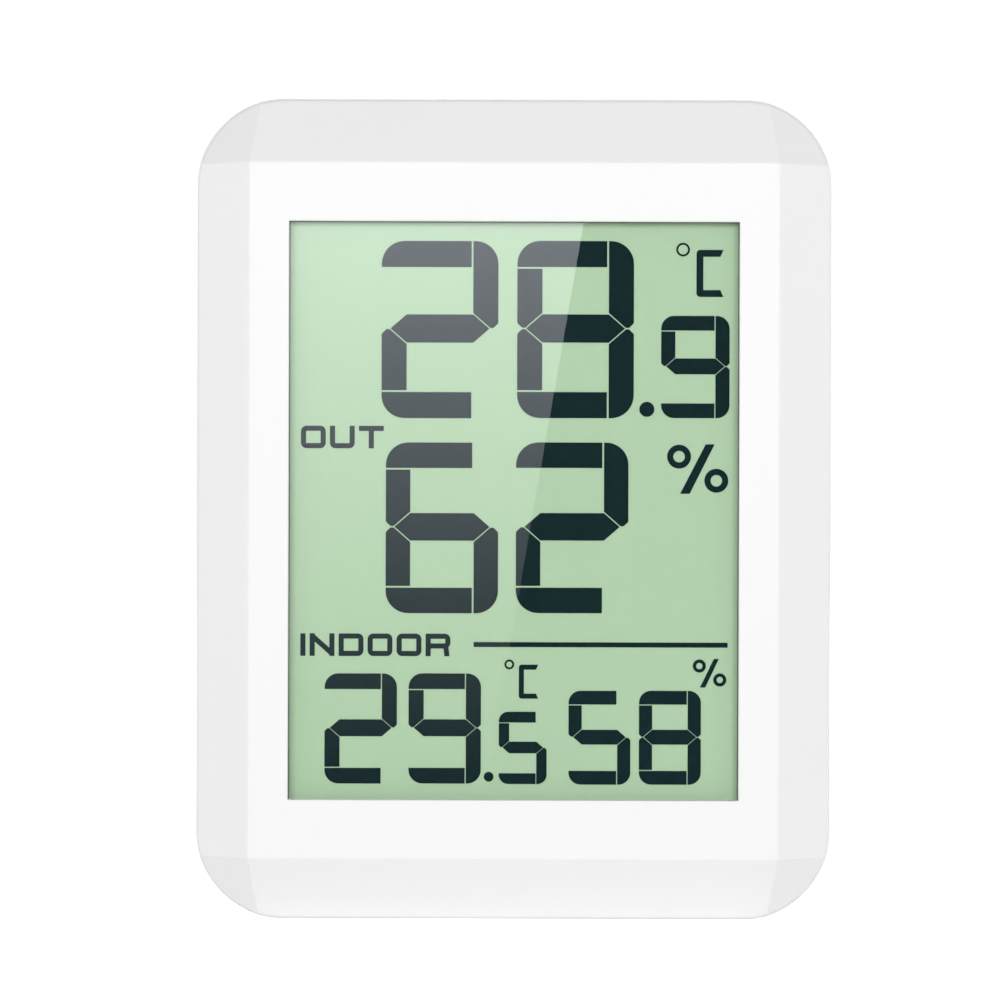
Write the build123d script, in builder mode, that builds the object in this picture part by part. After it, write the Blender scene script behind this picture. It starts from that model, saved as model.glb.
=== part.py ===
from build123d import *
from math import sqrt
import os

# An upright indoor and outdoor climate display: a white two-part case with a broad sloping
# border, a segment display behind a clear window, one circuit board, two AAA cells behind a
# hinged door, three push buttons and a fold-out stand on the back.
# Millimetres. X is to the right, Y goes from the front to the back, Z is up. The origin is on
# the table under the middle of the case. The display faces -Y.

# Case, outside
body_width = 97.4
body_height = 126.0
corner_radius = 13.3
side_bevel = 8.15
top_bevel = 10.0
bottom_bevel = 9.5
bevel_depth = 4.6
face_edge_radius = 0.7
bevel_edge_radius = 1.0
back_edge_radius = 2.0
# The small planes at the corners fall away this much more steeply than the borders beside them
corner_side_share = 1.02
corner_end_share = 1.2

# Case, walls and the joint between its two halves
wall = 2.0
face_wall = 1.4
front_casing_depth = 11.0
lip_height = 1.5
lip_thickness = 1.0
lip_clearance = 0.15
parting_chamfer = 0.25

# Clear window and its tape
opening_side_border = 6.1
opening_end_border = 9.0
window_overlap = 3.0
window_thickness = 1.0
tape_thickness = 0.2
tape_width = 2.4

# Liquid-crystal cell, its carrier frame and the rubber contact strips
glass_margin = 3.3
glass_ledge = 3.0
glass_end_margin = 4.4
glass_thickness = 0.7
segment_thickness = 0.1
reflector_thickness = 0.2
reflector_inset = 0.5
frame_wall = 1.5
frame_clearance = 0.2
frame_lip_thickness = 0.4
frame_lip_overlap = 1.6
zebra_thickness = 2.4
zebra_inset = 3.0

# Digits and marks on the display: outer sizes and stroke of each size of digit
large_digit_width = 17.9
large_digit_height = 27.2
large_digit_stroke = 4.0
middle_digit_width = 17.25
middle_digit_height = 26.2
middle_digit_stroke = 3.9
tenths_digit_width = 10.5
tenths_digit_height = 15.7
tenths_digit_stroke = 2.25
indoor_digit_width = 11.1
indoor_digit_height = 16.9
indoor_digit_stroke = 2.4
indoor_tenths_width = 7.35
indoor_tenths_height = 11.1
indoor_tenths_stroke = 1.65
percent_digit_width = 9.5
percent_digit_height = 14.4
percent_digit_stroke = 2.1
segment_side_share = 0.96
segment_bar_share = 1.08
segment_gap_share = 0.07
segment_waist_gap_share = 0.03
segment_tip_share = 0.34
segment_nick_share = 0.18
segment_waist_share = 0.506
segment_round_share = 0.88
large_point_radius = 1.15
small_point_radius = 0.75
letter_width = 3.8
letter_height = 3.45
letter_stroke = 0.78
letter_space = 0.65
divider_length = 39.0
divider_thickness = 0.75
large_percent_width = 9.4
large_percent_height = 7.6
small_percent_width = 5.15
small_percent_height = 4.4
large_celsius_width = 7.25
large_celsius_height = 8.3
large_celsius_stroke = 1.05
small_celsius_width = 5.2
small_celsius_height = 6.0
small_celsius_stroke = 0.77
degree_line = 0.3

# Circuit board
board_thickness = 1.6
board_gap = 0.8
board_parts_room = 3.3
board_side_clearance = 1.2
board_end_clearance = 6.5
board_corner_cut = 9.6
board_screw_inset = 2.5
board_screw_end_inset = 22.0
board_boss_radius = 2.4
board_screw_radius = 0.95
board_screw_length = 4.4
board_screw_head_radius = 1.8
board_screw_head_height = 1.2
screw_clearance = 0.05
hole_clearance = 0.15
screw_tip_clearance = 0.4
drive_slot_depth = 0.6
drive_slot_width = 0.5

# Case screws and the posts that they hold together
case_screw_inset = 7.5
case_boss_radius = 3.2
case_post_wall = 1.2
case_screw_radius = 1.1
case_screw_length = 8.5
case_screw_head_radius = 2.3
case_screw_head_height = 1.6
case_screw_head_clearance = 0.4
case_screw_seat_thickness = 3.0

# Cells and their bay
cell_diameter = 10.5
cell_length = 44.5
cell_edge_radius = 0.5
nub_radius = 1.9
nub_height = 0.8
cell_gap = 0.6
cell_side_clearance = 0.4
cell_clearance = 0.2
contact_thickness = 0.4
contact_width = 7.6
contact_height = 7.0
spring_length = 4.7
spring_radius = 2.4
spring_turns = 5
spring_wire_radius = 0.3
bay_wall = 1.4
bay_floor = 1.2

# Battery door
door_thickness = 1.5
door_ledge = 2.5
door_top_ledge = 3.0
door_gap = 0.3
door_panel_gap = 4.6
door_barrel_radius = 2.0
door_pin_radius = 1.0
door_pin_length = 1.6
door_corner_radius = 1.5
door_dish_depth = 0.6
door_dish_width = 14.0
door_dish_height = 6.0
door_grip_rib_count = 3
door_grip_rib_width = 0.7
door_grip_rib_pitch = 1.8
lug_wall = 1.4
pin_clearance = 0.05
door_dish_inset = 5.0
door_slit_width = 0.6
door_slit_length = 7.0
door_slit_margin = 1.2

# Stand
stand_width = 40.0
stand_foot_z = 4.0
stand_thickness = 3.0
stand_gap = 0.3
stand_hinge_drop = 9.3
stand_barrel_radius = 2.2
stand_pin_radius = 1.2
stand_pin_length = 2.2
stand_corner_radius = 4.0
stand_rim = 2.2
stand_rib = 1.6
stand_pocket_depth = 1.4
stand_pocket_count = 3
recess_wall = 1.4
finger_scoop_radius = 6.5
finger_scoop_rise = 11.0

# Buttons and their switches
button_radius = 3.2
button_hole_clearance = 0.2
button_pitch = 14.0
button_count = 3
button_drop = 25.5
button_edge_radius = 0.4
button_proud = 0.6
button_travel = 0.4
button_panel_depth = 0.8
button_panel_length = 44.0
button_panel_height = 10.0
button_flange_width = 1.0
button_flange_thickness = 0.8
button_flange_gap = 0.2
button_stem_radius = 1.6
switch_size = 6.0
switch_height = 3.5
switch_edge = 0.4
plunger_radius = 1.7
plunger_height = 1.6
plunger_depth = 1.2
plunger_clearance = 0.05
plunger_bottom_clearance = 0.3

# Keyhole for a wall screw, and the slots that let air to the sensors
keyhole_radius = 4.0
keyhole_slot_width = 4.0
keyhole_drop = 15.5
keyhole_rise = 4.5
vent_length = 12.0
vent_width = 1.6
vent_pitch = 3.4
vent_count = 5
vent_z = 31.0

# Parts on the back of the circuit board
blob_radius = 6.5
blob_height = 1.8
blob_round_share = 0.9
blob_x = -6.0
blob_z = 42.0
module_width = 14.0
module_height = 24.0
module_thickness = 1.0
module_can_width = 9.0
module_can_height = 11.0
module_can_thickness = 1.8
module_inset = 12.5
module_z = 38.0
antenna_radius = 0.5
antenna_stand_off = 4.5
antenna_exit_radius = 2.0
antenna_bend_radius = 5.0
antenna_pad_inset = 2.0
antenna_side_inset = 3.0
antenna_drop = 19.5
antenna_fall = 34.5
crystal_radius = 1.0
crystal_length = 6.0
crystal_lead_radius = 0.2
crystal_lead_length = 2.4
crystal_x = 12.0
crystal_z = 46.0
capacitor_radius = 2.5
capacitor_height = 7.0
capacitor_edge_radius = 0.5
capacitor_lead_radius = 0.3
capacitor_stand_off = 0.6
capacitor_lead_gap = 0.9
capacitor_z = 52.0
humidity_case_width = 8.0
humidity_case_height = 12.0
humidity_case_depth = 4.5
humidity_slot_width = 0.9
humidity_slot_depth = 1.2
humidity_slot_count = 5
humidity_slot_share = 0.7
bead_radius = 1.3
bead_stand_off = 6.0
bead_lead_radius = 0.25
bead_lead_pitch = 1.6
bead_z = 18.0
chip_length = 2.0
chip_width = 1.25
chip_height = 0.6
chip_columns = 6
chip_rows = 3
chip_pitch_x = 4.6
chip_pitch_z = 2.8
chip_group_z = 24.0
lead_radius = 0.6
lead_clearance = 0.3
lead_reach = 3.6
lead_rise = 2.5
lead_bend_radius = 2.0

# A cut runs this far past the surface that it opens, so that no skin is left
overrun = 1.0

# Depth of the case: the display and the board, room for the parts on the board, and the cells
display_depth = (
    face_wall
    + tape_thickness
    + window_thickness
    + frame_lip_thickness
    + 2 * glass_thickness
    + segment_thickness
    + reflector_thickness
)
board_depth = board_gap + board_thickness + board_parts_room
bay_depth = bay_floor + 2 * cell_clearance + cell_diameter + door_thickness
body_depth = display_depth + board_depth + bay_depth

# Depths from the front of the case to the back
front_y = -body_depth / 2
back_y = body_depth / 2
parting_y = front_y + front_casing_depth
bezel_back_y = front_y + face_wall
window_front_y = bezel_back_y + tape_thickness
window_back_y = window_front_y + window_thickness
cell_front_y = window_back_y + frame_lip_thickness
front_glass_back_y = cell_front_y + glass_thickness
rear_glass_front_y = front_glass_back_y + segment_thickness
rear_glass_back_y = rear_glass_front_y + glass_thickness
reflector_back_y = rear_glass_back_y + reflector_thickness
board_front_y = reflector_back_y + board_gap
board_back_y = board_front_y + board_thickness
back_inside_y = back_y - wall
fuse_y = back_inside_y + wall / 2

# Face and window, seen from the front
mid_z = body_height / 2
face_half_width = body_width / 2 - side_bevel
face_top_z = body_height - top_bevel
face_bottom_z = bottom_bevel
face_centre_z = (face_top_z + face_bottom_z) / 2
opening_width = 2 * (face_half_width - opening_side_border)
opening_height = face_top_z - face_bottom_z - 2 * opening_end_border
side_slope = bevel_depth / side_bevel
top_slope = bevel_depth / top_bevel
bottom_slope = bevel_depth / bottom_bevel
inner_width = body_width - 2 * wall
inner_height = body_height - 2 * wall
inner_corner_radius = corner_radius - wall
window_width = opening_width + 2 * window_overlap
window_height = opening_height + 2 * window_overlap
glass_width = opening_width + 2 * glass_margin
front_glass_height = opening_height + 2 * glass_end_margin
rear_glass_height = front_glass_height - 2 * glass_ledge
frame_pocket_width = glass_width + 2 * frame_clearance
frame_pocket_height = front_glass_height + 2 * frame_clearance
frame_width = frame_pocket_width + 2 * frame_wall
frame_height = frame_pocket_height + 2 * frame_wall
zebra_offset = (rear_glass_height + frame_pocket_height) / 4
zebra_length = glass_width - 2 * zebra_inset
board_width = inner_width - 2 * board_side_clearance
board_height = inner_height - 2 * board_end_clearance
lip_inset = lip_clearance + lip_thickness

# Screw places
board_screw_spacing_x = board_width - 2 * board_screw_inset
board_screw_spacing_z = board_height - 2 * board_screw_end_inset
case_screw_spacing_x = body_width - 2 * case_screw_inset
case_screw_spacing_z = body_height - 2 * case_screw_inset
case_counterbore_radius = case_screw_head_radius + case_screw_head_clearance
case_post_radius = case_counterbore_radius + case_post_wall
case_screw_seat_y = parting_y + case_screw_seat_thickness
case_screw_tip_y = case_screw_seat_y - case_screw_length
board_screw_tip_y = board_back_y - board_screw_length

# Keyhole, button panel, battery bay and door, one below the other
keyhole_z = body_height - keyhole_drop
button_z = body_height - button_drop
door_front_y = back_y - door_thickness
door_hinge_y = back_y - door_barrel_radius
cell_radius = cell_diameter / 2
cell_y = door_front_y - cell_clearance - cell_radius
bay_floor_back_y = cell_y - cell_radius - cell_clearance
bay_floor_front_y = bay_floor_back_y - bay_floor
door_top_z = button_z - button_panel_height / 2 - door_panel_gap
bay_top_z = door_top_z - door_top_ledge
upper_cell_z = bay_top_z - cell_side_clearance - cell_radius
lower_cell_z = upper_cell_z - cell_gap - cell_diameter
bay_bottom_z = lower_cell_z - cell_radius - cell_side_clearance
bay_mid_z = (bay_bottom_z + bay_top_z) / 2
bay_height = bay_top_z - bay_bottom_z
bay_half_length = (cell_length + spring_length) / 2 + contact_thickness
barrel_reach = cell_radius + door_barrel_radius + cell_side_clearance
door_hinge_z = lower_cell_z - sqrt(barrel_reach**2 - (door_hinge_y - cell_y) ** 2)
door_bottom_z = door_hinge_z - door_barrel_radius
door_half_width = bay_half_length + door_ledge
door_trough_front_y = door_hinge_y - door_barrel_radius - door_gap
door_lug_width = door_pin_length + lug_wall
door_mid_z = (door_bottom_z + door_top_z) / 2
rebate_width = 2 * (door_half_width + door_gap)
rebate_height = door_top_z - door_bottom_z + 2 * door_gap
door_dish_z = door_top_z - door_dish_inset
door_slit_spacing = door_dish_width + 2 * door_slit_margin
spring_rise = spring_length - 2 * (spring_wire_radius + pin_clearance)
lead_y = bay_floor_back_y + lead_rise
lead_turn_x = bay_half_length + bay_wall + lead_reach
capacitor_x = lead_turn_x + lead_radius + capacitor_lead_gap + capacitor_radius

# Stand and its recess
stand_hinge_y = back_y - stand_barrel_radius
stand_hinge_z = door_hinge_z - stand_hinge_drop
stand_length = stand_hinge_z - stand_foot_z
stand_front_y = back_y - stand_thickness
recess_floor_y = stand_front_y - stand_gap
stand_trough_front_y = stand_hinge_y - stand_barrel_radius - stand_gap
recess_top_z = stand_hinge_z + stand_barrel_radius + stand_gap
recess_bottom_z = stand_foot_z - stand_gap
recess_half_width = stand_width / 2 + stand_gap
finger_scoop_z = stand_foot_z + finger_scoop_rise
stand_lug_width = stand_pin_length + lug_wall
recess_height = recess_top_z - recess_bottom_z
recess_mid_z = (recess_top_z + recess_bottom_z) / 2
stand_pocket_top_z = stand_hinge_z - stand_barrel_radius - stand_rim
stand_pocket_bottom_z = stand_foot_z + stand_rim
stand_pocket_mid_z = (stand_pocket_top_z + stand_pocket_bottom_z) / 2
stand_pocket_pitch = (stand_pocket_top_z - stand_pocket_bottom_z) / stand_pocket_count

# Buttons and switches
panel_floor_y = back_y - button_panel_depth
button_top_y = panel_floor_y + button_proud
flange_back_y = back_inside_y - button_flange_gap
flange_front_y = flange_back_y - button_flange_thickness
switch_back_y = board_back_y + switch_height
plunger_top_y = switch_back_y + plunger_height
plunger_end_y = switch_back_y - plunger_depth

# Parts on the board
board_screw_head_x = board_screw_spacing_x / 2 - board_screw_head_radius
sensor_x = (recess_half_width + recess_wall + board_screw_head_x) / 2
module_x = module_inset - board_width / 2
module_back_y = board_back_y + module_thickness
antenna_y = module_back_y + antenna_stand_off
antenna_start_z = module_z + module_height / 2 - antenna_pad_inset
antenna_top_z = body_height - antenna_drop
antenna_end_z = antenna_top_z - antenna_fall
antenna_half_span = module_width / 2 - antenna_side_inset - module_x
crystal_y = board_back_y + crystal_radius
humidity_slot_pitch = humidity_case_height / (humidity_slot_count + 1)
humidity_slot_length = humidity_case_width * humidity_slot_share


def front_view(y):
    """A drawing plane at depth y, seen from the front: its x is X, its y is Z."""
    return Plane.XZ.offset(-y)


def side_view(x):
    """A drawing plane at x, seen from the right: its x is Y, its y is Z."""
    return Plane.YZ.offset(x)


def bevel_planes(depth):
    """The eight sloping planes around the flat face, moved in by depth."""
    planes = []
    for side in (-1, 1):
        middle = (side * face_half_width, front_y, face_centre_z)
        planes.append(Plane(origin=middle, z_dir=(side * side_slope, -1, 0)))
    for end, edge_z, slope in ((1, face_top_z, top_slope), (-1, face_bottom_z, bottom_slope)):
        planes.append(Plane(origin=(0, front_y, edge_z), z_dir=(0, -1, end * slope)))
        for side in (-1, 1):
            corner = (side * face_half_width, front_y, edge_z)
            normal = (
                side * side_slope * corner_side_share,
                -1,
                end * slope * corner_end_share,
            )
            planes.append(Plane(origin=corner, z_dir=normal))
    return [plane.offset(-depth) for plane in planes]


def four_screws(radius, length, head_radius, head_height, seat_y, spacing_x, spacing_z):
    """Four equal pan-head screws, heads towards the back, tips towards the front."""
    with BuildPart() as one_screw:
        with BuildSketch(front_view(0)):
            Circle(radius)
        extrude(amount=length)
        chamfer(one_screw.faces().sort_by(Axis.Y)[0].edges(), radius / 2)
        with BuildSketch(front_view(0)):
            Circle(head_radius)
        extrude(amount=-head_height)
        fillet(one_screw.faces().sort_by(Axis.Y)[-1].edges(), head_height / 2)
        with BuildSketch(front_view(head_height)):
            Rectangle(head_radius, drive_slot_width)
            Rectangle(drive_slot_width, head_radius)
        extrude(amount=drive_slot_depth, mode=Mode.SUBTRACT)
    with BuildPart() as screws:
        for side in (-1, 1):
            for end in (-1, 1):
                with Locations((side * spacing_x / 2, seat_y, mid_z + end * spacing_z / 2)):
                    add(one_screw.part)
    return screws


# Hollow of the front casing, which leaves its bosses standing
with BuildPart() as front_hollow:
    with BuildSketch(front_view(parting_y)):
        with Locations((0, mid_z)):
            RectangleRounded(inner_width, inner_height, inner_corner_radius)
    extrude(amount=front_casing_depth - face_wall)
    for slope_plane in bevel_planes(wall):
        split(bisect_by=slope_plane, keep=Keep.BOTTOM)
    with BuildSketch(front_view(parting_y)):
        with Locations((0, mid_z)):
            with GridLocations(case_screw_spacing_x, case_screw_spacing_z, 2, 2):
                Circle(case_boss_radius)
    extrude(amount=front_casing_depth, mode=Mode.SUBTRACT)
    with BuildSketch(front_view(board_front_y)):
        with Locations((0, mid_z)):
            with GridLocations(board_screw_spacing_x, board_screw_spacing_z, 2, 2):
                Circle(board_boss_radius)
    extrude(amount=front_casing_depth, mode=Mode.SUBTRACT)

# Front casing: flat face, sloping borders, window opening and screw bosses
with BuildPart() as front_casing:
    with BuildSketch(front_view(parting_y)):
        with Locations((0, mid_z)):
            RectangleRounded(body_width, body_height, corner_radius)
    extrude(amount=front_casing_depth)
    for slope_plane in bevel_planes(0):
        split(bisect_by=slope_plane, keep=Keep.BOTTOM)
    side_faces = front_casing.faces().filter_by(lambda face: round(face.normal_at().Y, 3) == 0)
    side_edges = side_faces.edges().filter_by(Axis.Y, reverse=True)
    fillet(
        side_edges.filter_by(lambda edge: edge.center().Y < parting_y - bevel_edge_radius),
        bevel_edge_radius,
    )
    fillet(front_casing.faces().sort_by(Axis.Y)[0].edges(), face_edge_radius)
    chamfer(front_casing.faces().sort_by(Axis.Y)[-1].edges(), parting_chamfer)
    add(front_hollow.part, mode=Mode.SUBTRACT)
    with BuildSketch(front_view(bezel_back_y + overrun)):
        with Locations((0, face_centre_z)):
            Rectangle(opening_width, opening_height)
    extrude(amount=face_wall + 2 * overrun, mode=Mode.SUBTRACT)
    with BuildSketch(front_view(parting_y + overrun)):
        with Locations((0, mid_z)):
            with GridLocations(case_screw_spacing_x, case_screw_spacing_z, 2, 2):
                Circle(case_screw_radius + screw_clearance)
    extrude(amount=parting_y + overrun - case_screw_tip_y + screw_tip_clearance, mode=Mode.SUBTRACT)
    with BuildSketch(front_view(board_front_y)):
        with Locations((0, mid_z)):
            with GridLocations(board_screw_spacing_x, board_screw_spacing_z, 2, 2):
                Circle(board_screw_radius + screw_clearance)
    extrude(amount=board_front_y - board_screw_tip_y + screw_tip_clearance, mode=Mode.SUBTRACT)
front_casing.part.label = "front_casing"

# Rear casing: side walls and back wall, with everything that hangs on the back wall
with BuildPart() as rear_casing:
    with BuildSketch(front_view(parting_y)):
        with Locations((0, mid_z)):
            RectangleRounded(body_width, body_height, corner_radius)
    extrude(amount=parting_y - back_y)
    fillet(rear_casing.faces().sort_by(Axis.Y)[-1].edges(), back_edge_radius)
    chamfer(rear_casing.faces().sort_by(Axis.Y)[0].edges(), parting_chamfer)
    with BuildSketch(front_view(parting_y)):
        with Locations((0, mid_z)):
            RectangleRounded(inner_width, inner_height, inner_corner_radius)
    extrude(amount=parting_y - back_inside_y, mode=Mode.SUBTRACT)

    # Lip that slips inside the front casing: a collar on the wall, then the lip itself
    for outline_margin, depth in ((-wall / 2, lip_height), (lip_clearance, 2 * lip_height)):
        with BuildSketch(front_view(parting_y + lip_height)):
            with Locations((0, mid_z)):
                RectangleRounded(
                    inner_width - 2 * outline_margin,
                    inner_height - 2 * outline_margin,
                    inner_corner_radius - outline_margin,
                )
                RectangleRounded(
                    inner_width - 2 * lip_inset,
                    inner_height - 2 * lip_inset,
                    inner_corner_radius - lip_inset,
                    mode=Mode.SUBTRACT,
                )
                with GridLocations(case_screw_spacing_x, case_screw_spacing_z, 2, 2):
                    Circle(case_boss_radius + lip_clearance, mode=Mode.SUBTRACT)
        extrude(amount=depth)

    # Posts for the four case screws, tray and hinge block of the stand
    with BuildSketch(front_view(parting_y)):
        with Locations((0, mid_z)):
            with GridLocations(case_screw_spacing_x, case_screw_spacing_z, 2, 2):
                Circle(case_post_radius)
    extrude(amount=parting_y - fuse_y)
    with BuildSketch(front_view(recess_floor_y - recess_wall)):
        with Locations((0, recess_mid_z)):
            Rectangle(
                2 * (recess_half_width + recess_wall),
                recess_height + 2 * recess_wall,
            )
        with Locations((-recess_half_width, finger_scoop_z), (recess_half_width, finger_scoop_z)):
            Circle(finger_scoop_radius + recess_wall)
    extrude(amount=recess_floor_y - recess_wall - fuse_y)
    with BuildSketch(front_view(stand_trough_front_y - recess_wall)):
        with Locations((0, stand_hinge_z)):
            Rectangle(
                2 * (recess_half_width + stand_lug_width),
                2 * (stand_barrel_radius + stand_gap + recess_wall),
            )
    extrude(amount=stand_trough_front_y - recess_wall - fuse_y)

    # Battery bay, backing of the door's rebate and hinge block of the door
    with BuildSketch(front_view(bay_floor_front_y)):
        with Locations((0, bay_mid_z)):
            Rectangle(2 * (bay_half_length + bay_wall), bay_height + 2 * bay_wall)
    extrude(amount=bay_floor_front_y - fuse_y)
    with BuildSketch(front_view(door_front_y - bay_wall)):
        with Locations((0, door_mid_z)):
            Rectangle(rebate_width + 2 * bay_wall, rebate_height + 2 * bay_wall)
    extrude(amount=door_front_y - bay_wall - fuse_y)
    with BuildSketch(front_view(door_trough_front_y - bay_wall)):
        with Locations((0, door_hinge_z)):
            Rectangle(
                rebate_width + 2 * door_lug_width,
                2 * (door_barrel_radius + door_gap + bay_wall),
            )
    extrude(amount=door_trough_front_y - bay_wall - fuse_y)

    # Screw holes and the wells that take the screw heads
    with BuildSketch(front_view(case_screw_seat_y)):
        with Locations((0, mid_z)):
            with GridLocations(case_screw_spacing_x, case_screw_spacing_z, 2, 2):
                Circle(case_counterbore_radius)
    extrude(amount=case_screw_seat_y - back_y - overrun, mode=Mode.SUBTRACT)
    with BuildSketch(front_view(case_screw_seat_y + overrun)):
        with Locations((0, mid_z)):
            with GridLocations(case_screw_spacing_x, case_screw_spacing_z, 2, 2):
                Circle(case_screw_radius + hole_clearance)
    extrude(amount=case_screw_seat_thickness + 2 * overrun, mode=Mode.SUBTRACT)

    # Recess of the stand with its finger scoops, hinge trough and pin holes
    with BuildSketch(front_view(recess_floor_y)):
        with Locations((0, recess_mid_z)):
            RectangleRounded(2 * recess_half_width, recess_height, stand_corner_radius + stand_gap)
        with Locations((-recess_half_width, finger_scoop_z), (recess_half_width, finger_scoop_z)):
            Circle(finger_scoop_radius)
    extrude(amount=recess_floor_y - back_y - overrun, mode=Mode.SUBTRACT)
    with BuildSketch(front_view(stand_trough_front_y)):
        with Locations((0, stand_hinge_z)):
            Rectangle(2 * recess_half_width, 2 * (stand_barrel_radius + stand_gap))
    extrude(amount=stand_trough_front_y - back_y - overrun, mode=Mode.SUBTRACT)
    with BuildSketch(side_view(0)):
        with Locations((stand_hinge_y, stand_hinge_z)):
            Circle(stand_pin_radius + pin_clearance)
    extrude(amount=recess_half_width + stand_pin_length, both=True, mode=Mode.SUBTRACT)

    # Inside of the bay, rebate of the door, its hinge trough and pin holes, and the lead holes
    with BuildSketch(front_view(bay_floor_back_y)):
        with Locations((0, bay_mid_z)):
            Rectangle(2 * bay_half_length, bay_height)
    extrude(amount=bay_floor_back_y - back_y - overrun, mode=Mode.SUBTRACT)
    with BuildSketch(front_view(door_front_y)):
        with Locations((0, door_mid_z)):
            RectangleRounded(rebate_width, rebate_height, door_corner_radius + door_gap)
    extrude(amount=door_front_y - back_y - overrun, mode=Mode.SUBTRACT)
    with BuildSketch(front_view(door_trough_front_y)):
        with Locations((0, door_hinge_z)):
            Rectangle(rebate_width, 2 * (door_barrel_radius + door_gap))
    extrude(amount=door_trough_front_y - back_y - overrun, mode=Mode.SUBTRACT)
    with BuildSketch(side_view(0)):
        with Locations((door_hinge_y, door_hinge_z)):
            Circle(door_pin_radius + pin_clearance)
    extrude(amount=rebate_width / 2 + door_pin_length, both=True, mode=Mode.SUBTRACT)
    with BuildSketch(side_view(bay_half_length - overrun)):
        with Locations((lead_y, lower_cell_z), (lead_y, upper_cell_z)):
            Circle(lead_radius + lead_clearance)
    extrude(amount=bay_wall + 2 * overrun, mode=Mode.SUBTRACT)

    # Button panel and button holes
    with BuildSketch(front_view(panel_floor_y)):
        with Locations((0, button_z)):
            SlotOverall(button_panel_length, button_panel_height)
    extrude(amount=panel_floor_y - back_y - overrun, mode=Mode.SUBTRACT)
    with BuildSketch(front_view(back_inside_y - overrun)):
        with Locations((0, button_z)):
            with GridLocations(button_pitch, 0, button_count, 1):
                Circle(button_radius + button_hole_clearance)
    extrude(amount=back_inside_y - back_y - 2 * overrun, mode=Mode.SUBTRACT)

    # Keyhole for a wall screw: a round entry and the narrow slot above it
    with BuildSketch(front_view(back_inside_y - overrun)):
        with Locations((0, keyhole_z)):
            Circle(keyhole_radius)
            with Locations((0, keyhole_rise / 2)):
                Rectangle(keyhole_slot_width, keyhole_rise)
            with Locations((0, keyhole_rise)):
                Circle(keyhole_slot_width / 2)
    extrude(amount=back_inside_y - back_y - 2 * overrun, mode=Mode.SUBTRACT)

    # Air slots beside the sensors
    with BuildSketch(front_view(back_inside_y - overrun)):
        with Locations((sensor_x, vent_z)):
            with GridLocations(0, vent_pitch, 1, vent_count):
                SlotOverall(vent_length, vent_width)
    extrude(amount=back_inside_y - back_y - 2 * overrun, mode=Mode.SUBTRACT)
rear_casing.part.label = "rear_casing"

# Four screws hold the two halves of the case together, four shorter ones hold the board
case_screws = four_screws(
    case_screw_radius,
    case_screw_length,
    case_screw_head_radius,
    case_screw_head_height,
    case_screw_seat_y,
    case_screw_spacing_x,
    case_screw_spacing_z,
)
case_screws.part.label = "case_screws"
board_screws = four_screws(
    board_screw_radius,
    board_screw_length,
    board_screw_head_radius,
    board_screw_head_height,
    board_back_y,
    board_screw_spacing_x,
    board_screw_spacing_z,
)
board_screws.part.label = "board_screws"

# Double-sided tape that holds the window behind the bezel
with BuildPart() as window_tape:
    with BuildSketch(front_view(window_front_y)):
        with Locations((0, face_centre_z)):
            Rectangle(window_width, window_height)
            Rectangle(
                window_width - 2 * tape_width,
                window_height - 2 * tape_width,
                mode=Mode.SUBTRACT,
            )
    extrude(amount=tape_thickness)
window_tape.part.label = "window_tape"

# Clear window
with BuildPart() as display_window:
    with BuildSketch(front_view(window_back_y)):
        with Locations((0, face_centre_z)):
            Rectangle(window_width, window_height)
    extrude(amount=window_thickness)
display_window.part.label = "display_window"

# Carrier frame: its front lip holds the cell against the window, its back rests on the board
with BuildPart() as lcd_frame:
    with BuildSketch(front_view(board_front_y)):
        with Locations((0, face_centre_z)):
            Rectangle(frame_width, frame_height)
    extrude(amount=board_front_y - window_back_y)
    with BuildSketch(front_view(board_front_y)):
        with Locations((0, face_centre_z)):
            Rectangle(frame_pocket_width, frame_pocket_height)
    extrude(amount=board_front_y - cell_front_y, mode=Mode.SUBTRACT)
    with BuildSketch(front_view(cell_front_y)):
        with Locations((0, face_centre_z)):
            Rectangle(
                glass_width - 2 * frame_lip_overlap,
                front_glass_height - 2 * frame_lip_overlap,
            )
    extrude(amount=frame_lip_thickness, mode=Mode.SUBTRACT)
lcd_frame.part.label = "lcd_frame"

# Front glass of the cell, whose top and bottom ledges carry the contacts
with BuildPart() as lcd_front_glass:
    with BuildSketch(front_view(front_glass_back_y)):
        with Locations((0, face_centre_z)):
            Rectangle(glass_width, front_glass_height)
    extrude(amount=glass_thickness)
lcd_front_glass.part.label = "lcd_front_glass"

# Rear glass of the cell
with BuildPart() as lcd_rear_glass:
    with BuildSketch(front_view(rear_glass_back_y)):
        with Locations((0, face_centre_z)):
            Rectangle(glass_width, rear_glass_height)
    extrude(amount=glass_thickness)
lcd_rear_glass.part.label = "lcd_rear_glass"

# Reflecting film on the back of the cell
with BuildPart() as lcd_reflector:
    with BuildSketch(front_view(reflector_back_y)):
        with Locations((0, face_centre_z)):
            Rectangle(glass_width - 2 * reflector_inset, rear_glass_height - 2 * reflector_inset)
    extrude(amount=reflector_thickness)
lcd_reflector.part.label = "lcd_reflector"

# Rubber strips that join the ledges of the front glass to the board
zebra_strips = []
for zebra_name, end in (("zebra_strip_upper", 1), ("zebra_strip_lower", -1)):
    with BuildPart() as zebra_strip:
        with BuildSketch(front_view(board_front_y)):
            with Locations((0, face_centre_z + end * zebra_offset)):
                Rectangle(zebra_length, zebra_thickness)
        extrude(amount=board_front_y - front_glass_back_y)
    zebra_strip.part.label = zebra_name
    zebra_strips.append(zebra_strip)

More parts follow.
